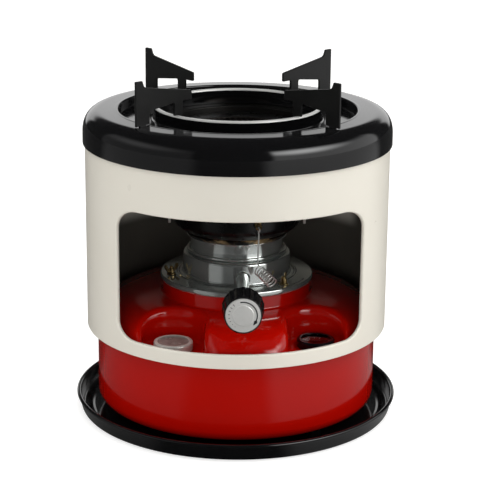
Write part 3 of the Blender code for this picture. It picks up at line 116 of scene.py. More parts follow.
def finish(name, colours, roughness, settings=None, spots=None, bumps=None, gloss=None):
    # a material with spots for mottle, bumps for ripple and a wandering gloss for smudge
    material, tree, shader = newMaterial(name, colours[0], roughness, settings)
    if spots:
        mottle(tree, shader, colours, *spots)
    if bumps:
        ripple(tree, shader, *bumps)
    if gloss:
        smudge(tree, shader, *gloss)
    return material


# stoved black enamel on pressed steel: deep gloss with a faint orange-peel
blackEnamel = finish("stovedBlackEnamel", ["#0b0b0c"], 0.09, {"IOR": 1.6},
                     bumps=(2.2, 0.004, 0.35), gloss=(0.06, 0.13, 18))

# dip-coated black enamel on the pot rests' cut plate: half matt
dippedEnamel = finish("dippedBlackEnamel", ["#121212", "#0d0d0c"], 0.36, {"IOR": 1.5}, (12, 3.0),
                      bumps=(1.6, 0.01, 0.4), gloss=(0.3, 0.44, 10))

# the stoved enamel dulled by heat and soot on the burner
sootedEnamel = finish("sootedBlackEnamel", ["#080808"], 0.26, {"IOR": 1.45},
                      bumps=(2.0, 0.01, 0.4), gloss=(0.2, 0.38, 9))

# stoved red enamel: clear deep red, wet gloss
redEnamel = finish("stovedRedEnamel", ["#ad0901", "#b50b02"], 0.1, {"IOR": 1.55}, (40, 3.0),
                   bumps=(2.5, 0.004, 0.3), gloss=(0.07, 0.14, 22))

# cream powder coat on rolled sheet: satin, fine pebble
creamColours = ("#e9e5da", "#e4dfd2")
creamEnamel = finish("creamPowderCoat", creamColours, 0.3, {"IOR": 1.5}, (60, 3.0),
                     bumps=(1.4, 0.006, 0.35), gloss=(0.24, 0.36, 25))

# sprayed grey primer inside the casing: dull, with a cream patch high on the back that is painted light,
# standing in for light coming in from behind and seen as a painted reflection in the dome and the collar's
# flange; it comes in between two heights and between two depths, in metres
primer = {"colours": ("#656159", "#595650"), "paintedLightPatch": {"Z": (0.138, 0.152), "Y": (0.066, 0.08)}}
greyPrimer, tree, shader = newMaterial("sprayedGreyPrimer", primer["colours"][0], 0.5, {"IOR": 1.5})
shade = mottle(tree, shader, primer["colours"], 35)
place = addNode(tree, "TexCoord").outputs["Object"]
parts = addNode(tree, "SeparateXYZ", None, {0: place})
edges = [addNode(tree, "MapRange", {"interpolation_type": "SMOOTHSTEP", 1: start, 2: end},
                 {0: parts.outputs[axis]}) for axis, (start, end) in primer["paintedLightPatch"].items()]
# the cream patch high on the back is painted light, mixed over the primer
paintedLight = addNode(tree, "Math", {"operation": "MULTIPLY"}, {0: edges[0], 1: edges[1]})
mix = addNode(tree, "Mix", {"data_type": "RGBA", 7: linear(creamColours[0])},
              {0: paintedLight, 6: shade.outputs[2]})
tree.links.new(mix.outputs[2], shader.inputs["Base Color"])
ripple(tree, shader, 1.5, 0.01, 0.4)

# bright zinc plate on spun steel: cool pale grey with faint turning lines, drawn coarser than they are
zincPlate, tree, shader = newMaterial("brightZincPlate", "#d2d8d6", 0.13, {"Metallic": 0.87})
mottle(tree, shader, ("#d2d8d6", "#e2e6e2"), 9)
turningLines(tree, shader, "Z", 0.952, 0.6, 0.12)
smudge(tree, shader, 0.08, 0.17, 12)

# cast brass: warm, a little dull, with a fine grain
castBrass = finish("castBrass", ["#b09a6c", "#6f5b3a"], 0.3, {"Metallic": 1.0}, (4, 3.0), (0.8, 0.02, 0.4))

# mill scale on the burner's ring: nearly black, with tan patches that are painted highlights, standing in for
# the flange's reflection at the bowl's lower edge
scaleWithPaintedGlints = finish("millScaleAndPaintedGlints", ["#15100b", "#c4a67c"], 0.34, {"Metallic": 0.7},
                   (14, 4.0, (0.52, 0.64)), (1.0, 0.01, 0.3))

# soot and heat on the steel round the flame: dark, dull brown-grey
sootySteel = finish("sootedSteel", ["#2b2723", "#151312"], 0.55, {"Metallic": 0.6},
                    (8, 5.0), (0.8, 0.02, 0.5))

# heat-browned steel of the flame spreader: brown, darker in spots
brownedSteel = finish("heatBrownedSteel", ["#54402c", "#2c241d"], 0.38, {"Metallic": 0.9},
                      (11, 4.0), (0.8, 0.01, 0.4))

# plated shroud: clean at its tabs, and sooted above them over a rise of 10 mm
shroudPlate = {"clean": "#e2e1da", "sooted": "#1b1a18", "sootStart": 0.196, "sootEnd": 0.206}
shroudSteel, tree, shader = newMaterial("sootedShroudPlate", shroudPlate["clean"], 0.4, {"Metallic": 0.7})
place = addNode(tree, "TexCoord").outputs["Object"]
height = addNode(tree, "SeparateXYZ", None, {0: place}).outputs[2]
soot = addNode(tree, "MapRange", {1: shroudPlate["sootStart"], 2: shroudPlate["sootEnd"]}, {0: height})
mix = addNode(tree, "Mix", {"data_type": "RGBA", 6: linear(shroudPlate["clean"]),
                            7: linear(shroudPlate["sooted"])}, {0: soot})
tree.links.new(mix.outputs[2], shader.inputs["Base Color"])
ripple(tree, shader, 0.8, 0.01, 0.3)

# turned bright steel of the rolled bead round the opening: a white, satin ring
brightBead = finish("turnedBrightSteel", ["#ececea", "#dededa"], 0.42, {"Metallic": 0.45},
                    (6, 3.0), (0.7, 0.006, 0.3))

# rolled stainless steel: mid grey, half bright
rolledSteel = finish("rolledSteel", ["#a9a9a6", "#8f8f8c"], 0.3, {"Metallic": 1.0},
                     (7, 3.0), (0.6, 0.006, 0.3))

# drawn bright spring wire of the handle: pale and a little uneven
brightWire = finish("drawnSpringWire", ["#e2e2de", "#cacac6"], 0.28, {"Metallic": 0.75},
                    (5, 3.0), (0.6, 0.006, 0.3))

# bright nickel plate on the filler cap: warm white with a soft gloss; beside the dish's darker copy, its rim
# reads as a painted highlight
nickelPlate = finish("nickelPlate", ["#e4e1da", "#d0ccc4"], 0.2, {"Metallic": 0.35}, (10, 3.0),
                     gloss=(0.14, 0.26, 6))

# the same plate made darker, duller and patchy in the cap's dish: painted shade and painted reflection
shadedNickel = finish("nickelPlateShadedDish", ["#b4b1aa", "#6e6b66"], 0.34, {"Metallic": 0.3}, (7, 4.0),
                    gloss=(0.16, 0.34, 6))

# black nickel plate of the gauge's bezel: dark and glossy
blackNickel = finish("blackNickelPlate", ["#1b181c", "#121014"], 0.16, {"Metallic": 0.5},
                     (10, 3.0), (1.2, 0.004, 0.3))

# brushed aluminium knob face: rings of fine brushing round the knob's axis, drawn coarser than they are
brushedAluminium, tree, shader = newMaterial("brushedAluminium", "#dededb", 0.42, {"Metallic": 0.4})
mottle(tree, shader, ("#dededb", "#d0d0cd"), 5)
turningLines(tree, shader, "Y", 0.748, 0.4, 0.2, (0.0055, 0.0, 0.1282))

# moulded black ABS: gloss with a faint grain
mouldedAbs = finish("mouldedBlackAbs", ["#121213"], 0.14, {"IOR": 1.53}, bumps=(0.5, 0.008, 0.35))

# woven cotton wick: pale, dull and coarse
wovenCotton = finish("wovenCotton", ["#d3cbb6", "#b9ae94"], 0.92, None, (2, 3.0), (0.9, 0.25, 0.8))

# vulcanised rubber: matt black
vulcanisedRubber = finish("vulcanisedRubber", ["#1b1b1b"], 0.75, bumps=(0.7, 0.02, 0.4))

# agglomerated cork: brown crumbs pressed together
pressedCork = finish("pressedCork", ["#8a6138", "#6d4828"], 0.85, None, (1.6, 6.0), (1.2, 0.15, 0.7))

# clear gauge glass, not quite flat
gaugeGlass = finish("gaugeGlass", ["#f4f8f8"], 0.03, {"IOR": 1.5, "Transmission Weight": 1.0},
                    bumps=(9.0, 0.01, 0.1))

# printed black dial, and the black print on the knob and the flange
blackDial = finish("blackDial", ["#1a1a1c"], 0.4, bumps=(0.6, 0.006, 0.3))

# white printing ink: off-white and flat
whiteInk = finish("whiteInk", ["#e4e2dc"], 0.5, bumps=(0.5, 0.004, 0.3))
print("materials made")


# surfaces

def newObject(name, data):
    # an object linked into the scene
    thing = bpy.data.objects.new(name, data)
    bpy.context.scene.collection.objects.link(thing)
    return thing


def thicken(piece, wall):
    # a wall in mm on the inner side of a sheet
    sheet = piece.modifiers.new("sheet", "SOLIDIFY")
    sheet.thickness = wall * mm
    sheet.offset = -1
    return sheet


def aroundAxis(radius, angle, height):
    # points round the upright axis: x = r cos a, y = r sin a, z = height
    return np.stack(np.broadcast_arrays(radius * np.cos(angle), radius * np.sin(angle), height), -1)


def arcPoints(centreR, centreZ, radius, start, end, count):
    # points along a circle arc, angles in degrees
    angle = np.radians(np.linspace(start, end, count))
    return np.stack([centreR + radius * np.cos(angle), centreZ + radius * np.sin(angle)], 1)


def rounded(corners, closed=True, count=5):
    # a polyline whose corners (x, y, radius) are rounded: each corner is cut off at
    # radius * tan(half the turn) from it, and a quadratic curve, whose middle point is drawn
    # towards the corner as far as an arc needs, joins the two cuts; in the profiles below the
    # corners are radius, height and rounding in mm
    pull = 0.83
    corners = np.array(corners, float)
    points, radii = corners[:, :2], corners[:, 2]
    before = np.roll(points, 1, 0) - points
    after = np.roll(points, -1, 0) - points
    lengthBefore = np.linalg.norm(before, axis=1, keepdims=True)
    lengthAfter = np.linalg.norm(after, axis=1, keepdims=True)
    before, after = before / lengthBefore, after / lengthAfter
    turn = np.pi - np.arccos(np.clip((before * after).sum(1), -1, 1))
    reach = radii * np.tan(turn / 2)
    reach = np.minimum(reach, 0.49 * np.minimum(lengthBefore, lengthAfter)[:, 0])[:, None]
    if not closed:
        reach[[0, -1]] = 0
    share = np.linspace(0, 1, count)[None, :, None]
    first, last = points + before * reach, points + after * reach
    curve = (first[:, None] * (1 - share) ** 2 + last[:, None] * share ** 2
             + 2 * points[:, None] * share * (1 - share) * pull
             + (first + last)[:, None] * share * (1 - share) * (1 - pull))
    curve = curve.reshape(-1, 2)
    keep = np.r_[True, np.linalg.norm(np.diff(curve, axis=0), axis=1) > 1e-4]
    return curve[keep]


def meshFrom(name, points, faces, sharp=38, recalculate=True):
    # a mesh from whole arrays, with doubles merged, faces turned outwards and smooth shading
    merging, shortest = 2e-6, 1e-7
    mesh = bpy.data.meshes.new(name)
    mesh.from_pydata(points.reshape(-1, 3).tolist(), [], [list(f) for f in faces])
    shape = bmesh.new()
    shape.from_mesh(mesh)
    bmesh.ops.remove_doubles(shape, verts=shape.verts, dist=merging)
    bmesh.ops.dissolve_degenerate(shape, edges=shape.edges, dist=shortest)
    if recalculate:
        bmesh.ops.recalc_face_normals(shape, faces=shape.faces)
    shape.to_mesh(mesh)
    shape.free()
    mesh.shade_smooth()
    mesh.set_sharp_from_angle(angle=math.radians(sharp))
    return newObject(name, mesh)


def gridFaces(rows, cols, wrapRows=False, wrapCols=False, start=0):
    # four-sided faces between neighbouring rows and columns, closed round either way
    i = np.arange(rows if wrapRows else rows - 1)[:, None]
    j = np.arange(cols if wrapCols else cols - 1)[None, :]
    nextRow, nextCol = (i + 1) % rows * cols, (j + 1) % cols
    return start + np.stack(np.broadcast_arrays(i * cols + j, i * cols + nextCol, nextRow + nextCol,
                                                nextRow + j), -1).reshape(-1, 4)


def spin(name, profile, segments, closed=True, centre=(0.0, 0.0), facing="up", shape=None):
    # a profile of radius and height in mm carried round an axis:
    # x = r cos a, y = r sin a, z = height, or along -Y where it faces the front
    profile = np.asarray(profile, float)
    angle = np.arange(segments) * 2 * np.pi / segments
    radius = profile[:, :1] * np.ones(segments)
    height = profile[:, 1:] * np.ones(segments)
    if shape:
        radius, height = shape(radius, height, angle[None, :])
    across, over = radius * np.cos(angle), radius * np.sin(angle)
    if facing == "up":
        points = np.stack([across + centre[0], over + centre[1], height], -1)
    else:
        points = np.stack([across + centre[0], -height, over + centre[1]], -1)
    return meshFrom(name, points * mm, gridFaces(len(profile), segments, closed, True))


def tube(name, path, radius, aside, sides):
    # a circle carried along a path in mm: each ring stands square to the path's own direction
    ahead = np.gradient(path, axis=0)
    ahead /= np.linalg.norm(ahead, axis=1, keepdims=True)
    side = np.cross(ahead, np.asarray(aside, float))
    side /= np.linalg.norm(side, axis=1, keepdims=True)
    up = np.cross(side, ahead)
    angle = np.arange(sides) * 2 * np.pi / sides
    size = np.broadcast_to(radius, len(path))[:, None, None]
    points = path[:, None] + size * (np.cos(angle)[None, :, None] * side[:, None]
                                     + np.sin(angle)[None, :, None] * up[:, None])
    faces = gridFaces(len(path), sides, False, True).tolist()
    faces += [list(range(sides))[::-1], [(len(path) - 1) * sides + k for k in range(sides)]]
    return meshFrom(name, points * mm, faces, 50)


def slab(name, outline, thickness, edge, centre, azimuth):
    # an outline of (out, up) in mm given a thickness, with its rims chamfered by a small edge, and
    # stood up: x = cx + out cos a - aside sin a, y = cy + out sin a + aside cos a, z = up
    along = np.roll(outline, -1, 0) - np.roll(outline, 1, 0)
    along /= np.linalg.norm(along, axis=1, keepdims=True) + 1e-12
    x, y = outline.T
    area = (x * np.roll(y, -1) - y * np.roll(x, -1)).sum()
    inward = np.stack([-along[:, 1], along[:, 0]], 1) * (1 if area > 0 else -1)
    inner = outline + inward * edge
    half = thickness / 2
    levels = ((inner, -half), (outline, edge - half), (outline, half - edge), (inner, half))
    out, up = np.stack([ring for ring, aside in levels]).transpose(2, 0, 1)
    aside = np.array([level for ring, level in levels])[:, None]
    across, over = math.cos(azimuth), math.sin(azimuth)
    x = centre[0] + out * across - aside * over
    y = centre[1] + out * over + aside * across
    points = np.stack([x, y, up], -1)
    count = len(outline)
    faces = gridFaces(4, count, False, True).tolist()
    faces += [list(range(count)), list(range(3 * count, 4 * count))]
    return meshFrom(name, points * mm, faces, 30)


def pierced(name, radius, low, high, around, rows, share, wall):
    # a tube of cells with a round hole in each: a cell's rim is the way of each angle divided by
    # its larger part, and the hole is the circle of the same angles, a share of the smaller side
    sides = 16
    cellWide, cellTall = 2 * np.pi / around, (high - low) / rows
    smaller = min(cellTall, cellWide * radius)
    angle = np.arange(sides) * 2 * np.pi / sides
    way = np.stack([np.cos(angle), np.sin(angle)], 1)
    rim = way / np.abs(way).max(1, keepdims=True) / 2
    loops = np.stack([rim * [cellWide, cellTall], way * share / 2 * [smaller / radius, smaller]])
    column, row = np.meshgrid(np.arange(around) * cellWide, low + (np.arange(rows) + 0.5) * cellTall)
    flat = loops[None] + np.stack([column, row], -1).reshape(-1, 1, 1, 2)
    points = aroundAxis(radius, flat[..., 0], flat[..., 1])
    faces = np.concatenate([gridFaces(2, sides, False, True, 2 * sides * k) for k in range(len(flat))])
    piece = meshFrom(name, points * mm, faces, 60)
    thicken(piece, wall)
    return piece


def together(name, pieces):
    # several meshes made one
    shape = bmesh.new()
    for piece in pieces:
        shape.from_mesh(piece.data)
        bpy.data.objects.remove(piece)
    mesh = bpy.data.meshes.new(name)
    shape.to_mesh(mesh)
    shape.free()
    mesh.shade_smooth()
    mesh.set_sharp_from_angle(angle=math.radians(38))
    return newObject(name, mesh)


def ribbon(name, centre, level, radius, start, end, width, facing="front", tip=0.0, count=24):
    # a flat printed band along a circle arc, in degrees, which may end in an arrow's point:
    # its half width is width / 2, then 3.2 times that, falling to nothing over the tip
    tipHalf = width / 2 * 3.2
    share = np.linspace(0, 1, count)
    half = np.full(count, width / 2)
    if tip:
        point = share > 1 - tip
        half = np.where(point, tipHalf * (1 - share) / tip, half)
    angle = np.radians(start + (end - start) * share)
    rows = []
    for side in (-1, 1):
        r = radius + side * half
        across, over = centre[0] + r * np.cos(angle), centre[1] + r * np.sin(angle)
        flat = np.full(count, level)
        rows.append(np.stack([across, -flat, over] if facing == "front" else [across, over, flat], -1))
    piece = meshFrom(name, np.stack(rows) * mm, gridFaces(2, count), 60, False)
    return facingOut(piece, Vector((0, -1, 0)) if facing == "front" else Vector((0, 0, 1)))


def facingOut(piece, way=None):
    # turns all faces over where the middle one looks against the way, or towards the origin
    middle = piece.data.polygons[len(piece.data.polygons) // 2]
    if middle.normal.dot(way or middle.center) < 0:
        piece.data.flip_normals()
    return piece


def secondFinish(piece, material, within, above=0.0, centre=(0.0, 0.0)):
    # a second material for the faces nearer an upright axis than one size and above a height, in mm
    piece.data.materials.append(material)
    faces = piece.data.polygons
    centres = np.empty(3 * len(faces), np.float32)
    faces.foreach_get("center", centres)
    x, y, z = centres.reshape(-1, 3).T / mm
    chosen = (np.hypot(x - centre[0], y - centre[1]) < within) & (z > above)
    faces.foreach_set("material_index", chosen.astype(np.int32))


def seat(piece, material, body, slot, *nodes):
    # gives a piece its material, puts it under its body's empty and hides the CAD nodes that it stands for;
    # the slot is not used
    piece.data.materials.append(material)
    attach(piece, body)
    if nodes:
        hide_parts(*nodes)
    return piece


# drip tray

tray = {"rimRadius": 140.2, "bead": 1.7, "height": 15.0}
beadR, beadZ = tray["rimRadius"] - tray["bead"], tray["height"] - tray["bead"]
trayProfile = np.concatenate([
    rounded([(0, 1.0, 0), (124.6, 1.0, 1), (127, 2.3, 1.6), (129.4, 1.0, 1), (134.4, 1.0, 2.4),
             (137.2, 11.4, 0)], False),
    arcPoints(beadR, beadZ, tray["bead"], 215, -75, 20),
    rounded([(138.4, 11.0, 0), (135.9, 0.0, 3.2), (129.4, 0.0, 1), (127, 1.2, 1.4), (124.6, 0.0, 1),
             (0, 0.0, 0)], False)])
seat(spin("dripTray", trayProfile, 160, False), blackEnamel, "base", "black_enamel", "drip_tray")

# tank

tank = {"radius": 121.0, "bottom": 9.0, "corner": 9.0, "seamRadius": 124.0, "seam": 75.4, "sheet": 1.0}
cupProfile = rounded([
    (tank["seamRadius"], tank["seam"], 0.4), (tank["seamRadius"], 74.6, 0.4), (tank["radius"], 74.6, 0.8),
    (tank["radius"], tank["bottom"], tank["corner"]), (28.5, tank["bottom"], 0.3), (28.5, 10.0, 0.3),
    (120, 10.0, 8.0), (120, tank["seam"], 0.2)], True, 9)
seat(spin("tankCup", cupProfile, 160), redEnamel, "base", "red_enamel", "tank_base")

dome = {
    "neck": 64.6, "neckHole": 44.5, "neckTop": 119.0, "crease": 105.0, "creaseRound": 3.5,
    "edgeR": 92.0, "edgeZ": 102.8, "arcLength": 44.0, "foot": 76.5, "power": 2.6,
    # each pocket's middle and radius, how far it runs to the front, and the rounding of its floor
    "pockets": ((-52.1, -83.7, 26.0), (66.7, -73.9, 23.5)), "pocketFloor": 78.0, "pocketRun": 45.0,
    "floorRound": 3.0,
    # the rounding of the pockets' upper edge, and ramps (rise, start, run) that add to it with height
    # and towards the front, or that widen the pockets with height
    "edgeRound": 1.6, "roundUp": (5.0, 80, 14), "roundAhead": (10.0, 98, 14), "flare": (1.2, 90, 20),
    "rows": 84, "front": (-178, -2), "frontColumns": 300, "backColumns": 60,
    "evenings": 250, "settlings": 10,
}


def ramp(value, rise, start, run):
    # 0 up to the start, then rising evenly by the whole rise over the run
    return rise * np.clip((value - start) / run, 0, 1)


def softMax(a, b, reach):
    # the larger of two fields, rounded where they are closer than reach: it is raised there by
    # (reach - gap)^2 / (4 reach)
    near = np.maximum(reach - np.abs(a - b), 0) / reach
    return np.maximum(a, b) + near * near * reach / 4


def pocketWall(x, y, pocket):
    # distance outside a pocket's wall: a circle that is carried straight to the front
    cx, cy, size = pocket
    ahead = np.maximum(y - cy, 0) + np.minimum(y - cy + dome["pocketRun"], 0)
    return np.hypot(x - cx, ahead) - size


def domeField(p):
    # a field in mm that is 0 on the dome and grows outside it: a superellipse from the neck to the
    # seam, out^p + up^p = 1, with the two pockets taken out of it
    x, y, z = p[..., 0], p[..., 1], p[..., 2]
    r = np.hypot(x, y)
    tall, power = dome["crease"] - dome["foot"], dome["power"]
    out = np.maximum(r - dome["neck"], 0) / (tank["radius"] - dome["neck"])
    up = np.maximum(z - dome["foot"], 0) / tall
    field = ((out ** power + up ** power) ** (1 / power) - 1) * tall
    for hollow in dome["pockets"]:
        wall = pocketWall(x, y, hollow) - ramp(z, *dome["flare"])
        pocket = softMax(wall, dome["pocketFloor"] - z, dome["floorRound"])
        reach = dome["edgeRound"] + ramp(z, *dome["roundUp"]) + ramp(-y, *dome["roundAhead"])
        field = softMax(field, -pocket, reach)
    return field


def domeSkin():
    # rows run from the neck's crease to the seam, along a flat and a quarter of an ellipse, and
    # columns round the axis, closer at the front; each point slides towards the mean of its
    # neighbours, and is put back on the surface each time along the field's slope
    start, end = dome["front"]
    front = np.linspace(start, end, dome["frontColumns"], endpoint=False)
    back = np.linspace(end, start + 360, dome["backColumns"], endpoint=False)
    azimuth = np.radians(np.r_[front, back])
    flatStart = dome["neck"] + dome["creaseRound"]
    span = dome["edgeR"] - flatStart
    along = np.linspace(0, 1, dome["rows"])[:, None] * (span + dome["arcLength"])
    angle = np.clip((along - span) / dome["arcLength"], 0, 1) * np.pi / 2
    onFlat = along < span
    r = np.where(onFlat, flatStart + along,
                 dome["edgeR"] + (tank["radius"] - dome["edgeR"]) * np.sin(angle))
    z = np.where(onFlat, dome["crease"], dome["foot"] + (dome["edgeZ"] - dome["foot"]) * np.cos(angle))
    points = aroundAxis(r, azimuth, z)
    for hollow in dome["pockets"]:
        inside = pocketWall(points[..., 0], points[..., 1], hollow) < -1
        nearFloor = np.minimum(points[..., 2], dome["pocketFloor"] + 0.5)
        points[..., 2] = np.where(inside, nearFloor, points[..., 2])
    step, ease, longest, flattest = 0.02, 0.6, 2.0, 0.25
    for turn in range(dome["evenings"] + dome["settlings"]):
        if turn < dome["evenings"]:
            around = (np.roll(points, 1, 1) + np.roll(points, -1, 1)) / 4
            around[1:-1] += (points[:-2] + points[2:]) / 4
            points[1:-1] += ease * (around[1:-1] - points[1:-1])
        value = domeField(points)
        gradient = np.stack([domeField(points + step * axis) - domeField(points - step * axis)
                             for axis in np.eye(3)], -1) / (2 * step)
        slope = np.maximum((gradient ** 2).sum(-1, keepdims=True), flattest)
        move = value[..., None] * gradient / slope
        length = np.linalg.norm(move, axis=-1, keepdims=True)
        move *= np.minimum(1, longest / np.maximum(length, 1e-9))
        points[1:-1] -= move[1:-1]
    return points, azimuth


skin, azimuth = domeSkin()
neckRows = rounded([(dome["neckHole"], dome["neckTop"], 0), (dome["neck"], dome["neckTop"], 1.4),
                    (dome["neck"], dome["crease"], dome["creaseRound"]),
                    (dome["neck"] + dome["creaseRound"], 104.7, 0)], False, 7)
seamRows = rounded([(tank["radius"], dome["foot"], 0), (tank["seamRadius"], dome["foot"], 0.3),
                    (tank["seamRadius"], 75.7, 0)], False, 4)


def ringRows(profile):
    # profile points carried round the dome's own azimuths
    return aroundAxis(profile[:, :1], azimuth, profile[:, 1:])


skin = np.concatenate([ringRows(neckRows[:-1]), skin, ringRows(seamRows[1:])])
tankDome = meshFrom("tankDome", skin * mm, gridFaces(len(skin), len(azimuth), False, True), 60, False)
thicken(facingOut(tankDome), tank["sheet"])
seat(tankDome, redEnamel, "base", "red_enamel", "tank_top")
print("tank made")

# filler cap and gauge

filler = {"centre": (-52.1, -83.7), "dish": 12.9}
capLid = rounded([(0, 84.0, 0), (12.4, 84.0, 0.8), (13.4, 85.0, 0.8), (16.4, 85.0, 1.3), (16.4, 78.3, 0.4),
                  (15.2, 78.3, 0.3), (15.2, 83.0, 0.5), (0, 83.0, 0)], False)
fillerCap = seat(spin("fillerCap", capLid, 96, False, filler["centre"]), nickelPlate, "filler_lid", "chrome",
                 "filler_cap")
# the dish's darker copy of the plate is painted shade, the paler rim a painted highlight
secondFinish(fillerCap, shadedNickel, filler["dish"], 0.0, filler["centre"])
neck = rounded([(14.3, 81.6, 0.3), (14.3, 70, 0.3), (12.7, 70, 0.3), (12.7, 81.6, 0.3)])
seat(spin("fillerNeck", neck, 64, True, filler["centre"]), zincPlate, "base", "zinc_plate", "filler_neck")

gauge = {
    "centre": (66.7, -73.9), "printed": 79.82,
    # the scale, its ticks, and a mark for empty and for full: radius, first and last angle, width, steps
    "scale": (11.2, 70, 205, 0.3, 40), "tick": (10.2, 1.5, 1.8, 3), "ticks": 7,
    "ends": [(7.2, 64, 76, 1.6, 5), (7.2, 190, 220, 1.6, 9)],
}
bezel = rounded([(12.4, 84.8, 0.3), (15.0, 84.8, 0.6), (16.0, 83.8, 0.6), (16.0, 78.3, 0.3),
                 (13.4, 78.3, 0.2), (13.4, 83.8, 0.2), (12.4, 83.8, 0.2)])
seat(spin("gaugeBezel", bezel, 96, True, gauge["centre"]), blackNickel, "base", "chrome", "gauge_bezel")
glass = rounded([(0, 83.5, 0), (13.1, 83.5, 0.3), (13.1, 82.5, 0.3), (0, 82.5, 0)], False)
seat(spin("gaugeGlass", glass, 96, False, gauge["centre"]), gaugeGlass, "base", "glass", "gauge_lens")
dial = rounded([(13.1, 79.8, 0.1), (13.1, 79.3, 0.1), (0.8, 79.3, 0.1), (0.8, 79.8, 0.1)])
seat(spin("gaugeDial", dial, 96, True, gauge["centre"]), blackDial, "base", "dial_face", "gauge_dial")
tickRadius, tickHalf, tickWidth, tickSteps = gauge["tick"]
arcs = [(tickRadius, degrees - tickHalf, degrees + tickHalf, tickWidth, tickSteps)
        for degrees in np.linspace(*gauge["scale"][1:3], gauge["ticks"])]
marks = [ribbon("mark", gauge["centre"], gauge["printed"], *arc[:4], "up", 0, arc[4])
         for arc in [gauge["scale"], *arcs, *gauge["ends"]]]
seat(together("gaugeMarks", marks), whiteInk, "base", "dial_face")

# winder collar, wick tube, clamps and shaft sleeve

collar = rounded([
    (40.0, 140.5, 0.4), (46.6, 140.5, 2.8), (46.6, 121.5, 1.4), (49.7, 121.5, 0.6), (50.5, 122.4, 0.5),
    (51.5, 122.4, 0.6), (52.3, 121.5, 0.5), (66.2, 121.5, 1.5), (66.2, 116.7, 0.4), (65.2, 116.7, 0.4),
    (65.2, 120.5, 0.8), (45.6, 120.5, 0.8), (45.6, 139.5, 1.8), (40.0, 139.5, 0.4)])
seat(spin("winderCollar", collar, 144), zincPlate, "base", "zinc_plate", "wick_collar")
wickTube = np.concatenate([
    rounded([(39.2, 156.3, 0.3), (43.4, 156.3, 0.4), (43.4, 155.4, 0.4), (40.1, 155.4, 1.2),
             (40.1, 144.2, 0)], False),
    arcPoints(41.7, 142.4, 1.6, 140, -90, 14), [(39.2, 140.8), (39.2, 156.3)]])
seat(spin("wickTube", wickTube, 144), zincPlate, "base", "zinc_plate", "outer_wick_tube")
# the arrow on the flange: its level and radius, its angles in degrees, and the share that is its point
turnArrow = {"level": 121.53, "radius": 62.5, "start": -41, "end": -22, "width": 0.7, "facing": "up",
             "tip": 0.16}
seat(ribbon("turnArrow", (0.0, 0.0), **turnArrow), blackDial, "base", "zinc_plate")

clamp = {"circle": 58.0, "azimuths": (-166.0, -46.0, 74.0), "turns": (25.0, 122.0, 10.0), "stud": 1.6,
         "thread": 0.7, "threadDepth": 0.14, "wing": 1.6, "wingEdge": 0.35}
threadZ = np.linspace(128.6, 119.3, 120)
wave = 0.5 - 0.5 * np.cos(threadZ * 2 * np.pi / clamp["thread"])
thread = clamp["stud"] - clamp["threadDepth"] * wave
studProfile = np.concatenate([[(0, 129.0), (1.2, 129.0)], np.stack([thread, threadZ], 1), [(0, 119.3)]])
washerProfile = rounded([(1.9, 122.6, 0.1), (4.0, 122.6, 0.25), (4.0, 121.8, 0.25), (1.9, 121.8, 0.1)])
hubProfile = rounded([(1.75, 126.7, 0.3), (2.5, 126.7, 0.5), (3.0, 122.9, 0.4), (1.75, 122.9, 0.2)])
wingOutline = rounded([(1.9, 123.2, 0), (3.6, 123.2, 1.2), (7.3, 128.2, 1.6), (7.3, 130.5, 1.3),
                       (5.0, 130.5, 1.3), (3.1, 127.0, 0.8), (1.9, 126.4, 0)])
for number, (azimuthDegrees, turnDegrees) in enumerate(zip(clamp["azimuths"], clamp["turns"]), 1):
    where, spread = math.radians(azimuthDegrees), math.radians(azimuthDegrees + turnDegrees)
    centre = (clamp["circle"] * math.cos(where), clamp["circle"] * math.sin(where))
    parts = [spin("hub", hubProfile, 40, True, centre)]
    for side in (spread, spread + math.pi):
        parts.append(slab("wing", wingOutline, clamp["wing"], clamp["wingEdge"], centre, side))
    seat(together("wingNut%d" % number, parts), castBrass, "base", "brass", "wing_nut_%d" % number)
    seat(spin("studWasher%d" % number, washerProfile, 48, True, centre), castBrass, "base", "brass",
         "stud_washer_%d" % number)
    seat(spin("collarStud%d" % number, studProfile, 28, False, centre), castBrass, "base", "brass",
         "collar_stud_%d" % number)

sleeve = {"centre": (5.5, 128.2), "nut": 7.0, "neck": 5.6}


def hexSides(radius, height, angle):
    # the nut's round, past its neck, becomes six flats: r cos 30 / cos(angle from a flat's middle),
    # where that is smaller
    fold = (angle + np.pi / 6) % (np.pi / 3) - np.pi / 6
    flats = sleeve["nut"] * math.cos(math.pi / 6) / np.cos(fold)
    return np.where(radius > sleeve["neck"], np.minimum(radius, flats), radius), height


sleeveProfile = rounded([
    (6.6, 47.6, 0.2), (5.2, 49.2, 1.2), (5.2, 111.8, 0.1), (5.7, 112.0, 0.1), (sleeve["nut"], 112.4, 0.2),
    (sleeve["nut"], 116.0, 0.2), (6.4, 116.5, 0.2), (2.6, 116.5, 0.2), (2.6, 47.6, 0.2)])
seat(spin("shaftSleeve", sleeveProfile, 96, True, sleeve["centre"], "front", hexSides), zincPlate, "base",
     "zinc_plate", "shaft_sleeve")
print("winder collar made")

# burner

base = rounded([(46.6, 160.6, 0.5), (46.0, 159.6, 2.0), (43.0, 156.6, 0.8), (40.8, 156.6, 0.3),
                (40.8, 160.6, 0.3)])
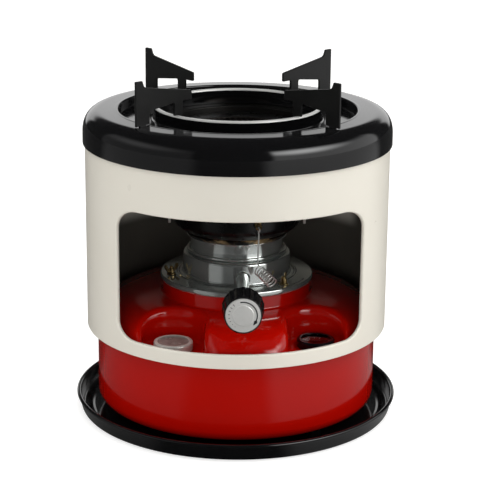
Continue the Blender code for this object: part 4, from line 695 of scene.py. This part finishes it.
# the ring's tan patches are painted highlights on the dark scale
seat(spin("burnerRing", base, 128), scaleWithPaintedGlints, "burner", "brass", "burner_base")
bowl = rounded([(55.5, 182, 0.2), (55.5, 167.6, 7), (46.8, 160.9, 5), (36.2, 160.9, 0.3),
                (36.2, 161.9, 0.3), (46.4, 161.9, 4.6), (54.5, 168.1, 6.4), (54.5, 182, 0.2)], True, 9)
seat(spin("burnerBowl", bowl, 144), sootedEnamel, "burner", "black_enamel", "burner_bowl")
drum = rounded([(39.1, 249.5, 0.3), (53.5, 250.5, 1.6), (55.5, 248.5, 1.4), (55.5, 182.3, 0.2),
                (54.5, 182.3, 0.2), (54.5, 248.0, 1.2), (53.2, 248.5, 0.8), (39.1, 248.5, 0.3)])
seat(spin("burnerDrum", drum, 144), sootedEnamel, "burner", "black_enamel", "burner_drum")
spreader = rounded([(0, 249.3, 0), (14.6, 248.8, 4), (24.8, 247.4, 3), (29.2, 245.8, 0.5), (29.2, 244.3, 0.3),
                    (0, 244.3, 0)], False)
seat(spin("flameSpreader", spreader, 96, False), brownedSteel, "burner", "steel", "flame_spreader")
flameTube = {
    # each tube's radius, foot, top and holes in a row; then how many rows both have, each hole's
    # share of its cell, and the wall
    "outer": (38.5, 162.2, 249.5, 48), "inner": (27.9, 157.3, 244.0, 36),
    "rows": 18, "share": 0.46, "wall": 1.0,
}
for which in ("outer", "inner"):
    piece = pierced(which + "FlameTube", *flameTube[which], flameTube["rows"], flameTube["share"],
                    flameTube["wall"])
    seat(piece, sootySteel, "burner", "steel", which + "_flame_tube")

shroud = {"radius": 58.3, "tabLow": 163.6, "tabTop": 200.4, "tabHalf": 2.0, "tabWall": 2.2, "tabEdge": 0.3}
shroudProfile = rounded([(57.5, 199.0, 0.2), (shroud["radius"], 199.0, 0.2), (shroud["radius"], 254.4, 1.0),
                         (72.0, 254.4, 0.2), (72.0, 255.2, 0.2), (57.5, 255.2, 1.2)])
shroudParts = [spin("skirt", shroudProfile, 144)]
tabHalf, tabLow, tabTop = shroud["tabHalf"], shroud["tabLow"], shroud["tabTop"]
tabOutline = rounded([(-tabHalf, tabTop, 0), (-tabHalf, tabLow, 1.5), (tabHalf, tabLow, 1.5),
                      (tabHalf, tabTop, 0)])
for x in (-shroud["radius"], shroud["radius"]):
    shroudParts.append(slab("tab", tabOutline, shroud["tabWall"], shroud["tabEdge"], (x, 0.0), math.pi / 2))
seat(together("burnerShroud", shroudParts), shroudSteel, "base", "zinc_plate", "burner_shroud")

# casing

casing = {
    "radius": 130.0, "sheet": 1.2, "low": 76.8, "footRise": 1.2, "top": 249.4, "flange": 122.2,
    # the window's left, right, low and high edges, and its upper and lower corners' radii
    "window": (-98.4, 104.4, 88.9, 199.5), "corners": (17.5, 14.0), "lip": 2.8, "lipRound": 1.3,
    "frontHalf": 72.0, "crowding": 1.3,
}


def casingSkin():
    # the front is a ring of faces between the window's rounded outline and a larger rectangle,
    # both written as (angle, height) on the cylinder, with rows that crowd towards the window;
    # the back is a plain strip, and the bottom and window edges turn inwards on small arcs
    x0, x1, z0, z1 = casing["window"]
    topCorner, lowCorner = casing["corners"]
    half, straight = 10, 26  # steps along half a corner and along a straight edge
    bend = casing["lipRound"]
    lowZ = casing["low"] + casing["footRise"]
    reachAngle = np.radians(casing["frontHalf"])
    quarterTurn = np.linspace(0, np.pi / 4, half + 1)[:-1]

    def corner(cx, cz, radius, start):
        # a quarter of a circle: x = cx + r cos a, z = cz + r sin a
        angle = start + np.concatenate([quarterTurn, quarterTurn + np.pi / 4, [np.pi / 2]])
        return np.stack([cx + radius * np.cos(angle), cz + radius * np.sin(angle)], 1)

    corners = [corner(x1 - lowCorner, z0 + lowCorner, lowCorner, -np.pi / 2),
               corner(x1 - topCorner, z1 - topCorner, topCorner, 0),
               corner(x0 + topCorner, z1 - topCorner, topCorner, np.pi / 2),
               corner(x0 + lowCorner, z0 + lowCorner, lowCorner, np.pi)]
    inner, outer = [], []
    span = 2 * half + straight
    zs = np.linspace(lowZ, casing["top"], span + 1)[:-1]
    xs = np.linspace(-reachAngle, reachAngle, span + 1)[:-1]
    frames = ((np.full(span, reachAngle), zs), (-xs, np.full(span, casing["top"])),
              (np.full(span, -reachAngle), zs[::-1] + zs[1] - zs[0]), (xs, np.full(span, lowZ)))
    for side in range(4):
        first, last = corners[side], corners[(side + 1) % 4]
        share = np.linspace(0, 1, straight + 1)[:-1, None]
        inner.append(np.concatenate([first[half:-1], first[-1] * (1 - share) + last[0] * share, last[:half]]))
        outer.append(np.stack(frames[side], 1))
    inner, outer = np.concatenate(inner), np.concatenate(outer)
    radius = casing["radius"]
    innerAngle = np.arcsin(inner[:, 0] / radius)
    edge = np.stack([innerAngle, inner[:, 1]], 1)
    turnIn = np.radians(np.linspace(0, 90, 6))
    middle = np.array([(x0 + x1) / 2, (z0 + z1) / 2])
    outward = inner - middle
    outward[:, 0] *= (z1 - z0) / (x1 - x0)
    outward /= np.linalg.norm(outward, axis=1, keepdims=True)
    # the lip runs in by its depth, then the bend's radius is R - b + b sin a and its outline
    # moves outwards by b - b cos a
    lipRadii = np.r_[radius - casing["lip"], radius - bend + bend * np.sin(turnIn)]
    push = np.r_[0, bend - bend * np.cos(turnIn)][:, None, None] * outward
    lipRows = edge + np.stack([push[..., 0] / radius, push[..., 1]], -1)
    share = np.linspace(0, 1, 13)[1:, None, None] ** casing["crowding"]
    sheet = lipRows[-1] * (1 - share) + outer * share
    allRows = np.concatenate([lipRows, sheet])
    allRadii = np.r_[lipRadii, np.full(len(sheet), radius)][:, None] + np.zeros(len(edge))
    quarter = np.pi / 2  # the angles here are counted from the front
    front = aroundAxis(allRadii, allRows[..., 0] - quarter, allRows[..., 1])
    faces = [gridFaces(*front.shape[:2], False, True)]
    backAngle = np.linspace(reachAngle, 2 * np.pi - reachAngle, 61)
    backZ = np.r_[zs, casing["top"]][:, None]
    back = aroundAxis(radius, backAngle - quarter, backZ)
    faces.append(gridFaces(*back.shape[:2], start=front.size // 3))
    footAngle = np.r_[xs, backAngle[:-1]]
    foot = rounded([(radius, lowZ, 0), (radius, casing["low"], 1.1), (casing["flange"], casing["low"], 0)],
                   False, 6)
    rim = aroundAxis(foot[:, :1], footAngle - quarter, foot[:, 1:])
    faces.append(gridFaces(*rim.shape[:2], wrapCols=True, start=(front.size + back.size) // 3))
    points = np.concatenate([front.reshape(-1, 3), back.reshape(-1, 3), rim.reshape(-1, 3)])
    return points, np.concatenate(faces)


casingPoints, casingFaces = casingSkin()
casingShell = meshFrom("casingShell", casingPoints * mm, casingFaces, 50)
thicken(facingOut(casingShell), casing["sheet"]).material_offset = 1
seat(casingShell, creamEnamel, "base", "cream_enamel", "casing_shell")
casingShell.data.materials.append(greyPrimer)

# the outer strip of the lap seam, whose edges slope down into the shell
lap = {"half": 7.0, "slope": 0.3, "endSlope": 0.4, "low": 78.4, "high": 249.0, "out": 0.7, "sunk": 0.2}
inner = lap["half"] - lap["slope"]
seamAngle = np.pi / 2 + np.r_[-lap["half"], -inner, inner, lap["half"]] / casing["radius"]
slopeLow, slopeHigh = lap["low"] + lap["endSlope"], lap["high"] - lap["endSlope"]
seamZ = np.r_[lap["low"], np.linspace(slopeLow, slopeHigh, 60), lap["high"]][:, None]
seamRadius = np.full((len(seamZ), 4), casing["radius"] + lap["out"])
seamRadius[:, [0, 3]] = casing["radius"] - lap["sunk"]
seamRadius[[0, -1]] = casing["radius"] - lap["sunk"]
seamPoints = aroundAxis(seamRadius, seamAngle, seamZ)
seam = meshFrom("casingSeam", seamPoints * mm, gridFaces(len(seamZ), 4), 40, False)
seat(facingOut(seam), creamEnamel, "base", "cream_enamel")
print("casing made")

# top cap

cap = {"radius": 131.8, "ringRadius": 115.0, "skirt": 237.0, "shoulder": 244.9, "edge": 265.0, "power": 2.5,
       "sheet": 1.0, "opening": 69.6, "bead": 1.8, "beadZ": 266.8, "brightWithin": 71.5, "brightAbove": 266.9}
# the shoulder is a quarter of a superellipse: out = sin a and up = cos a, both to the 2 / power
angle = np.linspace(0, np.pi / 2, 22)
across = np.sin(angle) ** (2 / cap["power"])
upright = np.abs(np.cos(angle)) ** (2 / cap["power"])
shoulder = np.stack([cap["ringRadius"] + (cap["radius"] - cap["ringRadius"]) * across,
                     cap["shoulder"] + (cap["edge"] - cap["shoulder"]) * upright], 1)
inside = cap["radius"] - cap["sheet"]
under = shoulder[::-1] - [cap["sheet"], 0]
under[under[:, 0] < cap["ringRadius"] + cap["sheet"], 1] -= cap["sheet"]
under[:, 0] = np.minimum(under[:, 0], inside)
capProfile = np.concatenate([
    [(67.8, 255.5)], arcPoints(cap["opening"], cap["beadZ"], cap["bead"], 180, 0, 14),
    rounded([(71.4, 266.0, 0), (71.4, 256.5, 1.8), (101.4, 256.5, 1.8), (101.4, 265.7, 1.2),
             (104.5, 265.25, 2), (114.4, 265.02, 0)], False),
    shoulder,
    rounded([(cap["radius"], 244.0, 0), (cap["radius"], cap["skirt"], 0.5), (inside, cap["skirt"], 0.4),
             (inside, 244.0, 0)], False),
    under,
    rounded([(113, 264.0, 0), (103.4, 264.6, 1.2), (102.4, 255.9, 1.2), (99, 255.5, 1), (72, 255.5, 0)],
            False)])
topCap = seat(spin("topCap", capProfile, 176), blackEnamel, "base", "black_enamel", "top_cap")
secondFinish(topCap, brightBead, cap["brightWithin"], cap["brightAbove"])
print("cap made")

# pot rests

rest = {"thickness": 2.0, "edge": 0.25, "azimuths": (45, 135, 225, 315)}
restOutline = rounded([
    (116.0, 302.2, 0.6), (108.8, 302.2, 0.6), (106.6, 296.6, 3.5), (101.0, 295.6, 3), (54.5, 288.0, 1.0),
    (54.5, 280.5, 1.0), (64.3, 280.5, 0.8), (64.3, 268.9, 0.5), (74.0, 268.9, 0.5), (74.0, 280.0, 1.4),
    (101.2, 276.5, 1.6), (101.2, 266.0, 0.4), (105.0, 266.0, 0.2), (105.0, 259.0, 0.5), (112.0, 259.0, 0.5),
    (112.0, 266.0, 0.2), (116.0, 265.3, 0.4)])
for number, azimuthDegrees in enumerate(rest["azimuths"], 1):
    board = slab("potRest%d" % number, restOutline, rest["thickness"], rest["edge"], (0.0, 0.0),
                 math.radians(azimuthDegrees))
    seat(board, dippedEnamel, "base", "black_enamel", "pot_rest_%d" % number)
print("pot rests made")

# knob

knob = {
    "middle": (5.5, 128.2), "back": 124.0, "front": 146.2,
    # the flutes: how many, how deep, how round, from which radius, between which shares of the
    # length, and how fast they fade in from the back and the front
    "ribs": 18, "depth": 1.0, "roundness": 0.8, "sideFrom": 14.9, "ends": (0.02, 0.98), "fades": (12, 9),
    # the print: its level and radius, the arrow's angles, the ticks' angles, half a tick in degrees,
    # and the first tick's width with what each next one adds
    "printed": 146.23, "printRadius": 11.2, "arrow": (102, -46), "ticks": range(236, 130, -15),
    "tickHalf": 1.2, "tickWidth": 0.5, "tickGrowth": 0.22,
}


def knobRibs(radius, height, angle):
    # shallow round flutes between the ribs, |cos(ribs a / 2)| to the power of their roundness deep,
    # fading out at both ends
    share = np.clip((height - knob["back"]) / (knob["front"] - knob["back"]), 0, 1)
    onSide = (radius > knob["sideFrom"]) & (share > knob["ends"][0]) & (share < knob["ends"][1])
    wave = np.abs(np.cos(angle * knob["ribs"] / 2)) ** knob["roundness"]
    fade = np.clip(share * knob["fades"][0], 0, 1) * np.clip((1 - share) * knob["fades"][1], 0, 1)
    return radius - np.where(onSide, knob["depth"] * wave * fade, 0), height


sideRows = np.linspace([17.3, 124.8], [15.5, 145.2], 16)
knobProfile = np.concatenate([
    rounded([(0, 124.0, 0), (16.2, 124.0, 0.6), (17.3, 124.8, 0)], False), sideRows,
    rounded([(15.4, 145.4, 0), (14.9, 146.2, 0.5), (14.4, 146.2, 0.2), (14.4, 144.4, 0.1), (0, 144.4, 0)],
            False)])
seat(spin("knobBody", knobProfile, 216, False, knob["middle"], "front", knobRibs), mouldedAbs, "knob",
     "black_plastic", "knob_body")
face = rounded([(0, 146.7, 0), (8.2, 146.7, 0.3), (8.8, 146.2, 0.3), (13.7, 146.2, 0.3), (14.2, 145.7, 0.3),
                (14.2, 144.7, 0), (0, 144.7, 0)], False)
seat(spin("knobFace", face, 128, False, knob["middle"], "front"), brushedAluminium, "knob", "steel",
     "knob_face")
printed = [ribbon("arrow", knob["middle"], knob["printed"], knob["printRadius"], *knob["arrow"],
                  1.0, "front", 0.14)]
for order, degrees in enumerate(knob["ticks"]):
    printed.append(ribbon("tick", knob["middle"], knob["printed"], knob["printRadius"],
                          degrees - knob["tickHalf"], degrees + knob["tickHalf"],
                          knob["tickWidth"] + knob["tickGrowth"] * order, "front", 0, 3))
seat(together("knobPrint", printed), blackDial, "knob", "dial_face")
print("knob made")

# lifting handle

lift = {
    "azimuth": -72.0, "radius": 59.2, "height": 173.7, "eye": 2.0, "wire": 0.6, "ringWire": 0.8, "gap": 0.3,
    "under": 2.4, "drop": 29.0, "out": 2.5, "aside": 1.5,
    # the wound grip
    "grip": 4.2, "turns": 7, "steps": 26, "pitch": 2.7, "coilWire": 0.55, "offset": 1.3,
    "gripWay": (0.60, -0.70, -0.39),
}
turn = math.radians(lift["azimuth"])
outward = np.array([math.cos(turn), math.sin(turn), 0])
aside = np.array([-outward[1], outward[0], 0])
upward = np.array([0, 0, 1.0])
pivot = outward * lift["radius"] + upward * lift["height"]
eyeCentre = pivot - upward * (lift["eye"] - lift["wire"] - lift["ringWire"] - lift["gap"])
# the eye is most of a circle: centre + out * r cos a + up * r sin a
eyeAngle = np.radians(np.linspace(-40, 250, 40))[:, None]
eyePath = eyeCentre + outward * lift["eye"] * np.cos(eyeAngle) + upward * lift["eye"] * np.sin(eyeAngle)
dropPoint = eyeCentre - upward * lift["drop"] + outward * lift["out"] - aside * lift["aside"]
gripWay = np.array(lift["gripWay"])
gripWay /= np.linalg.norm(gripWay)
firstSide = np.cross(gripWay, [0, 1.0, 0])
firstSide /= np.linalg.norm(firstSide)
secondSide = np.cross(gripWay, firstSide)
startAngle = math.atan2(secondSide[2], firstSide[2])
gripStart = dropPoint - upward * lift["grip"] + gripWay * lift["offset"]
# the grip is a helix: start + its way * pitch * turns + a circle across the way
turned = np.arange(lift["turns"] * lift["steps"] + 1)[:, None] / lift["steps"]
turnAngle = startAngle + turned * 2 * np.pi
coil = (gripStart + gripWay * lift["pitch"] * turned
        + (firstSide * np.cos(turnAngle) + secondSide * np.sin(turnAngle)) * lift["grip"])
below = eyeCentre - upward * (lift["eye"] + lift["under"])
straight = below + (dropPoint - below) * np.linspace(0, 1, 10)[:, None]
# the wire bends from the drop into the coil on a quadratic curve
share = np.linspace(0, 1, 8)[:, None]
bend = dropPoint - upward * lift["wire"] + gripWay * 2 * lift["wire"]
corner = (1 - share) ** 2 * dropPoint + 2 * share * (1 - share) * bend + share ** 2 * coil[0]
handlePath = np.concatenate([eyePath, straight, corner[1:-1], coil])
wireSize = np.where(np.arange(len(handlePath)) < len(handlePath) - len(coil), lift["wire"], lift["coilWire"])
seat(tube("liftHandle", handlePath, wireSize, aside, 10), brightWire, "handle", "steel", "lift_handle")

# finishes of the CAD nodes that stay as they are

kept = (
    (vulcanisedRubber, ("tank_foot_1", "tank_foot_2", "tank_foot_3", "tank_foot_4", "collar_gasket",
                        "filler_seal")),
    (sootySteel, ("draft_tube", "burner_cross_pin")),
    (wovenCotton, ("wick",)),
    (rolledSteel, ("wick_carrier", "wick_rack", "wick_pinion", "knob_shaft", "gauge_float_arm")),
    (zincPlate, ("gauge_housing",)),
    (pressedCork, ("gauge_float",)),
    (whiteInk, ("gauge_needle",)),
    (castBrass, ("handle_bracket",)),
)
for coat, names in kept:
    for name in names:
        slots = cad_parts[name].data.materials
        slots.clear()
        slots.append(coat)
print("kept nodes finished")

# light and view

studio = {
    "paper": "#cfcecc", "reach": 6.0, "floorGlow": 0.6, "lampAim": 0.15,
    # the light on matt faces: a sky that brightens between two elevations in degrees
    "horizon": 0.3, "zenith": 1.6, "skyRise": (30.0, 60.0),
    # what gloss sees, by degrees right of the front and upwards: the dark, a light wall far behind,
    # and two tall soft panels, each with a brighter spot
    "dark": 0.03, "behind": 1.0, "behindSpan": (152, 200), "behindTop": 17, "behindSoft": 3, "foot": -30,
    "panels": {
        "right": {"span": (26, 123), "top": 27, "level": 0.88, "spot": 5.4, "spotAt": (50, 25)},
        "left": {"span": (-116, -33), "top": 27, "level": 0.12, "spot": 0.42, "spotAt": (-80, 25)},
    },
    "sideSoft": 2.5, "topSoft": 9, "spotSize": (30, 9.5), "spotReach": 1.8,
    # what gloss sees in the floor: the dark with a light patch on each side, and their gain, which
    # grows between two distances in metres
    "floorDark": 0.03, "rightPatch": (20, 120), "rightLevel": 0.4, "leftPatch": (-110, -30),
    "leftLevel": 0.15, "patchSoft": 6, "patchFrom": 0.15, "patchTo": 0.45, "patchGain": (0.5, 1.1),
    "lamps": {
        "rightBox": {"azimuth": 80, "elevation": 34, "distance": 1.3, "size": (0.85, 0.95), "radiance": 3.05},
        "leftBox": {"azimuth": -80, "elevation": 34, "distance": 1.3, "size": (0.85, 0.95), "radiance": 1.33},
        "frontFill": {"azimuth": 0, "elevation": 6, "distance": 1.5, "size": (1.2, 0.36), "radiance": 3.1},
    },
}
camera = {"lens": 124.24, "place": (0.0, -1.4387, 0.562), "pitch": 73.63, "roll": 0.449, "shift": 0.0266}
cameraData = bpy.data.cameras.new("viewCamera")
cameraData.lens = camera["lens"]
cameraData.sensor_width = 36.0
cameraData.shift_x = camera["shift"]
cameraData.clip_start, cameraData.clip_end = 0.01, 20.0
viewCamera = newObject("viewCamera", cameraData)
pitch = Matrix.Rotation(math.radians(camera["pitch"]), 4, "X")
roll = Matrix.Rotation(math.radians(camera["roll"]), 4, "Z")
viewCamera.matrix_world = Matrix.Translation(camera["place"]) @ pitch @ roll
bpy.context.scene.camera = viewCamera
bpy.context.scene.view_settings.view_transform = "Standard"

reach = studio["reach"]
floorMesh = bpy.data.meshes.new("studioFloor")
floorMesh.from_pydata([(-reach, -reach, 0), (reach, -reach, 0), (reach, reach, 0), (-reach, reach, 0)],
                      [], [(0, 1, 2, 3)])
studioFloor = newObject("studioFloor", floorMesh)


def band(tree, value, low, high, soft):
    # 1 between two values, falling to 0 over a soft edge on each side
    edges = [addNode(tree, "MapRange", {"interpolation_type": "SMOOTHSTEP", 1: middle - soft,
                                        2: middle + soft, 3: start, 4: 1.0 - start}, {0: value})
             for middle, start in ((low, 0.0), (high, 1.0))]
    return addNode(tree, "Math", {"operation": "MULTIPLY"}, {0: edges[0], 1: edges[1]})


def bearing(tree, way):
    # degrees to the right of the front: the arc tangent of x over -y
    parts = addNode(tree, "SeparateXYZ", None, {0: way})
    back = addNode(tree, "Math", {"operation": "MULTIPLY", 1: -1.0}, {0: parts.outputs[1]})
    turned = addNode(tree, "Math", {"operation": "ARCTAN2"}, {0: parts, 1: back})
    return addNode(tree, "Math", {"operation": "MULTIPLY", 1: 180 / math.pi}, {0: turned})


# matt pale paper that glows a little to the camera, and to gloss is nearly black with a light patch
# on each side
paleFloor, tree, shader = newMaterial("paleFloor", studio["paper"], 0.8)
path = addNode(tree, "LightPath")
place = addNode(tree, "TexCoord").outputs["Object"]
across = bearing(tree, place)
patches = addNode(tree, "Math", {"operation": "MULTIPLY_ADD", 1: studio["rightLevel"],
                                 2: studio["floorDark"]},
                  {0: band(tree, across, *studio["rightPatch"], studio["patchSoft"])})
patches = addNode(tree, "Math", {"operation": "MULTIPLY_ADD", 1: studio["leftLevel"]},
                  {0: band(tree, across, *studio["leftPatch"], studio["patchSoft"]), 2: patches})
away = addNode(tree, "VectorMath", {"operation": "LENGTH"}, {0: place}).outputs["Value"]
gain = addNode(tree, "MapRange", {1: studio["patchFrom"], 2: studio["patchTo"], 3: studio["patchGain"][0],
                                  4: studio["patchGain"][1]}, {0: away})
toGloss = addNode(tree, "Math", {"operation": "MULTIPLY"}, {0: patches, 1: gain})
toGloss = addNode(tree, "Math", {"operation": "MULTIPLY"}, {0: toGloss, 1: path.outputs["Is Glossy Ray"]})
glow = addNode(tree, "Math", {"operation": "MULTIPLY_ADD", 1: studio["floorGlow"]},
               {0: path.outputs["Is Camera Ray"], 2: toGloss})
paper = addNode(tree, "Mix", {"data_type": "RGBA", 6: linear(studio["paper"]), 7: linear("#000000")},
                {0: path.outputs["Is Glossy Ray"]})
tree.links.new(paper.outputs[2], shader.inputs["Base Color"])
shader.inputs["Emission Color"].default_value = linear("#ffffff")
tree.links.new(glow.outputs[0], shader.inputs["Emission Strength"])
studioFloor.data.materials.append(paleFloor)

for name, lamp in studio["lamps"].items():
    # a soft box that looks at the stove from its azimuth, counted from the front, and elevation
    light = bpy.data.lights.new(name, "AREA")
    light.shape = "RECTANGLE"
    light.size, light.size_y = lamp["size"]
    light.energy = lamp["radiance"] * math.pi * lamp["size"][0] * lamp["size"][1]
    azimuth, elevation = math.radians(lamp["azimuth"]), math.radians(lamp["elevation"])
    way = Vector((math.sin(azimuth) * math.cos(elevation), -math.cos(azimuth) * math.cos(elevation),
                  math.sin(elevation)))
    holder = newObject(name, light)
    holder.visible_camera = False
    holder.visible_glossy = False
    holder.matrix_world = (Matrix.Translation(way * lamp["distance"] + Vector((0, 0, studio["lampAim"])))
                           @ way.to_track_quat("Z", "Y").to_matrix().to_4x4())

world = bpy.data.worlds.new("studioWorld")
bpy.context.scene.world = world
world.use_nodes = True
tree = world.node_tree
tree.nodes.clear()
world.cycles.sampling_method = "NONE"
way = addNode(tree, "TexCoord").outputs["Generated"]
across = bearing(tree, way)
height = addNode(tree, "SeparateXYZ", None, {0: way}).outputs[2]
rise = addNode(tree, "Math", {"operation": "ARCSINE"}, {0: height})
rise = addNode(tree, "Math", {"operation": "MULTIPLY", 1: 180 / math.pi}, {0: rise})
sideways = addNode(tree, "Math", {"operation": "ABSOLUTE"}, {0: across})
behind = addNode(tree, "Math", {"operation": "MULTIPLY"},
                 {0: band(tree, sideways, *studio["behindSpan"], studio["behindSoft"]),
                  1: band(tree, rise, studio["foot"], studio["behindTop"], studio["behindSoft"])})
around = addNode(tree, "Math", {"operation": "MULTIPLY_ADD", 1: studio["behind"], 2: studio["dark"]},
                 {0: behind})
both = addNode(tree, "CombineXYZ", None, {0: across, 1: rise})
for panel in studio["panels"].values():
    # the spot falls off with the distance from its middle, measured in its own half widths
    wide, tall = studio["spotSize"]
    right, up = panel["spotAt"]
    scaled = addNode(tree, "Mapping", {"Scale": (1 / wide, 1 / tall, 0),
                                       "Location": (-right / wide, -up / tall, 0)}, {"Vector": both})
    away = addNode(tree, "VectorMath", {"operation": "LENGTH"}, {0: scaled}).outputs["Value"]
    tone = addNode(tree, "MapRange", {"interpolation_type": "SMOOTHSTEP", 1: 0.0, 2: studio["spotReach"],
                                      3: panel["spot"], 4: 0.0}, {0: away})
    tone = addNode(tree, "Math", {"operation": "MULTIPLY_ADD", 1: panel["level"]},
                   {0: band(tree, rise, studio["foot"], panel["top"], studio["topSoft"]), 2: tone})
    around = addNode(tree, "Math", {"operation": "MULTIPLY_ADD"},
                     {0: band(tree, across, *panel["span"], studio["sideSoft"]), 1: tone, 2: around})
path = addNode(tree, "LightPath")
seen = addNode(tree, "Math", {"operation": "MAXIMUM"},
               {0: path.outputs["Is Camera Ray"], 1: path.outputs["Is Transmission Ray"]})
sky = addNode(tree, "MapRange", {"interpolation_type": "SMOOTHSTEP", 1: studio["skyRise"][0],
                                 2: studio["skyRise"][1], 3: studio["horizon"], 4: studio["zenith"]},
              {0: rise})
glossy = addNode(tree, "Mix", {"data_type": "FLOAT"}, {0: path.outputs["Is Glossy Ray"], 2: sky, 3: around})
strength = addNode(tree, "Math", {"operation": "MAXIMUM"}, {0: glossy, 1: seen})
background = addNode(tree, "Background", {"Color": linear("#ffffff")}, {"Strength": strength})
addNode(tree, "OutputWorld", None, {"Surface": background})
